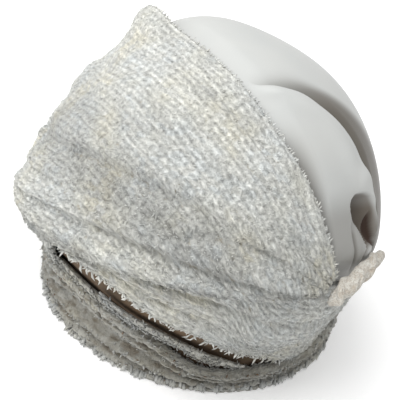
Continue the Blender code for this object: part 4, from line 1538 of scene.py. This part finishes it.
def make_crown():
    """The smooth crown with its crescent fold, its pocket and the creases below the pocket."""
    rows, columns = 181, 241
    back, along = grid_shares(rows, columns)
    crown = cloth_wall("crown_cloth", crown_face, rows, columns, CROWN_WALL, step=1)
    shade = np.stack(crown_shade(back, along), axis=-1).reshape(-1, 3)
    give_colour(crown.data, np.concatenate([shade, shade]))
    wear(crown, crown_finish(), "crown")
    return crown


def make_cap():
    """The thin cap under the crown: a dome with two skins, sunk in under the pocket."""
    low = math.degrees(math.asin((CAP_EDGE_Z - BROW_LINE_Z) / DRAW_IN_DEPTH))
    elevation, azimuth = np.meshgrid(np.linspace(low, CAP_TOP_ELEVATION, 70),
                                     np.arange(-180.0, 180.0, 2.5), indexing="ij")
    unit = direction(azimuth, elevation)
    away = angle_between(unit, POCKET_AZIMUTH, POCKET_ELEVATION) / CAP_HOLLOW_SPREAD
    out = CAP_OUT - CAP_HOLLOW_DEPTH * bell(away)
    rows, columns = elevation.shape
    count = rows * columns
    faces = grid_faces(rows, columns, ring=True) + grid_faces(rows, columns, count, ring=True)
    last = (rows - 1) * columns
    for j in range(columns):
        k = (j + 1) % columns
        faces.append([k, j, count + j, count + k])
        faces.append([last + j, last + k, 2 * count])
        faces.append([count + last + k, count + last + j, 2 * count + 1])
    top = np.array([[0.0, 0.0, 1.0]])
    points = [form_point(way, distance - wall).reshape(-1, 3)
              for way, distance in ((unit, out), (top, CAP_OUT)) for wall in (0.0, CAP_WALL)]
    cap = closed_piece("cap_cloth", np.concatenate(points), faces)
    wear(cap, lining_finish(), "under_cap")
    return cap


def make_tail():
    """The twisted tail: rings with three soft lobes that turn on the way along its path."""
    sides, steps = 48, 90
    place = np.linspace(0, len(TAIL_PATH) - 1, steps)
    azimuth, elevation, out, half_width = along_path(TAIL_PATH, place)
    outwards = direction(azimuth, elevation)
    path = form_point(outwards, out * MM)
    ahead = unit_of(np.gradient(path, axis=0))
    side = unit_of(np.cross(ahead, outwards))
    away = np.cross(side, ahead)
    turn = 2.0 * math.pi * TAIL_TURNS * np.linspace(0.0, 1.0, steps)[:, None]
    angle = np.arange(sides) * 2.0 * math.pi / sides
    lobes = 1.0 + TAIL_LOBE_DEPTH * (np.abs(np.cos(1.5 * angle)) - 0.6)
    wide = half_width[:, None] * MM * np.cos(angle) * lobes
    flat = half_width[:, None] * MM * TAIL_FLATNESS * np.sin(angle) * lobes
    points = (path[:, None] + (wide * np.cos(turn) - flat * np.sin(turn))[..., None] * side[:, None]
              + (wide * np.sin(turn) + flat * np.cos(turn))[..., None] * away[:, None])
    faces = grid_faces(steps, sides, ring=True)
    faces.append(list(range(sides))[::-1])
    faces.append([(steps - 1) * sides + j for j in range(sides)])
    tail = closed_piece("tail_cloth", points, faces)
    wear(tail, tail_finish(), "twisted_tail")
    return tail


def make_camera():
    """The photograph's view: above the wearer's left brow, rolled to the left."""
    azimuth, elevation, roll = (math.radians(value) for value in (40.0, 34.0, 23.0))
    distance = 0.9
    pixels_per_metre = 1560.0
    frame_pixels = 400
    middle = (203.8, 199.0)
    back = np.array([math.sin(azimuth) * math.cos(elevation),
                     -math.cos(azimuth) * math.cos(elevation), math.sin(elevation)])
    level = np.array([math.cos(azimuth), math.sin(azimuth), 0.0])
    upright = np.cross(back, level)
    right = math.cos(roll) * level + math.sin(roll) * upright
    up = -math.sin(roll) * level + math.cos(roll) * upright
    eye = np.array([0.0, 0.0, 0.080]) - SLIDE + back * distance
    camera = bpy.data.cameras.new("camera")
    camera.sensor_width = 36.0
    camera.lens = 36.0 * distance * pixels_per_metre / frame_pixels
    camera.shift_x = (199.5 - middle[0]) / frame_pixels
    camera.shift_y = (middle[1] - 199.5) / frame_pixels
    camera.clip_start = 0.01
    holder = add_object("camera", camera)
    rows = np.stack([right, up, back, eye], axis=-1).tolist()
    holder.matrix_world = Matrix([*rows, (0, 0, 0, 1)])
    bpy.context.scene.camera = holder


def make_studio():
    """A pale floor, one broad light above the front and an even glow all round."""
    light = bpy.data.lights.new("overhead", "AREA")
    light.shape = "DISK"
    light.size = 1.3
    light.energy = 21.0
    holder = add_object("overhead", light)
    holder.location = (-0.25, -0.75, 1.20)
    aim = Vector((0.0, 0.0, 0.08)) - holder.location
    holder.rotation_euler = aim.to_track_quat("-Z", "Y").to_euler()
    mesh = bpy.data.meshes.new("floor")
    corners = ((-6.0, -6.0, 0.0), (6.0, -6.0, 0.0), (6.0, 6.0, 0.0), (-6.0, 6.0, 0.0))
    mesh.from_pydata(corners, [], [(0, 1, 2, 3)])
    floor = add_object("floor", mesh)
    paint = Finish("pale floor", (0.94, 0.94, 0.94), Roughness=0.9)
    paint.shader.inputs["Emission Color"].default_value = (1.0, 1.0, 1.0, 1.0)
    paint.shader.inputs["Emission Strength"].default_value = 0.16
    mesh.materials.append(paint.material)
    world = bpy.data.worlds.new("studio")
    world.use_nodes = True
    world.node_tree.nodes["Background"].inputs[0].default_value = (1.0, 1.0, 1.0, 1.0)
    world.node_tree.nodes["Background"].inputs[1].default_value = 0.80
    bpy.context.scene.world = world
    bpy.context.scene.view_settings.view_transform = "Standard"


make_camera()
drape, drape_tufts = make_drape()
wrap, wrap_tufts = make_wrap()
band = make_band()
crown = make_crown()
coil = make_coil("coil", COIL_PATH, 41)
top_coil = make_coil("top_coil", TOP_COIL_PATH, 43)
cap = make_cap()
tail = make_tail()
make_studio()
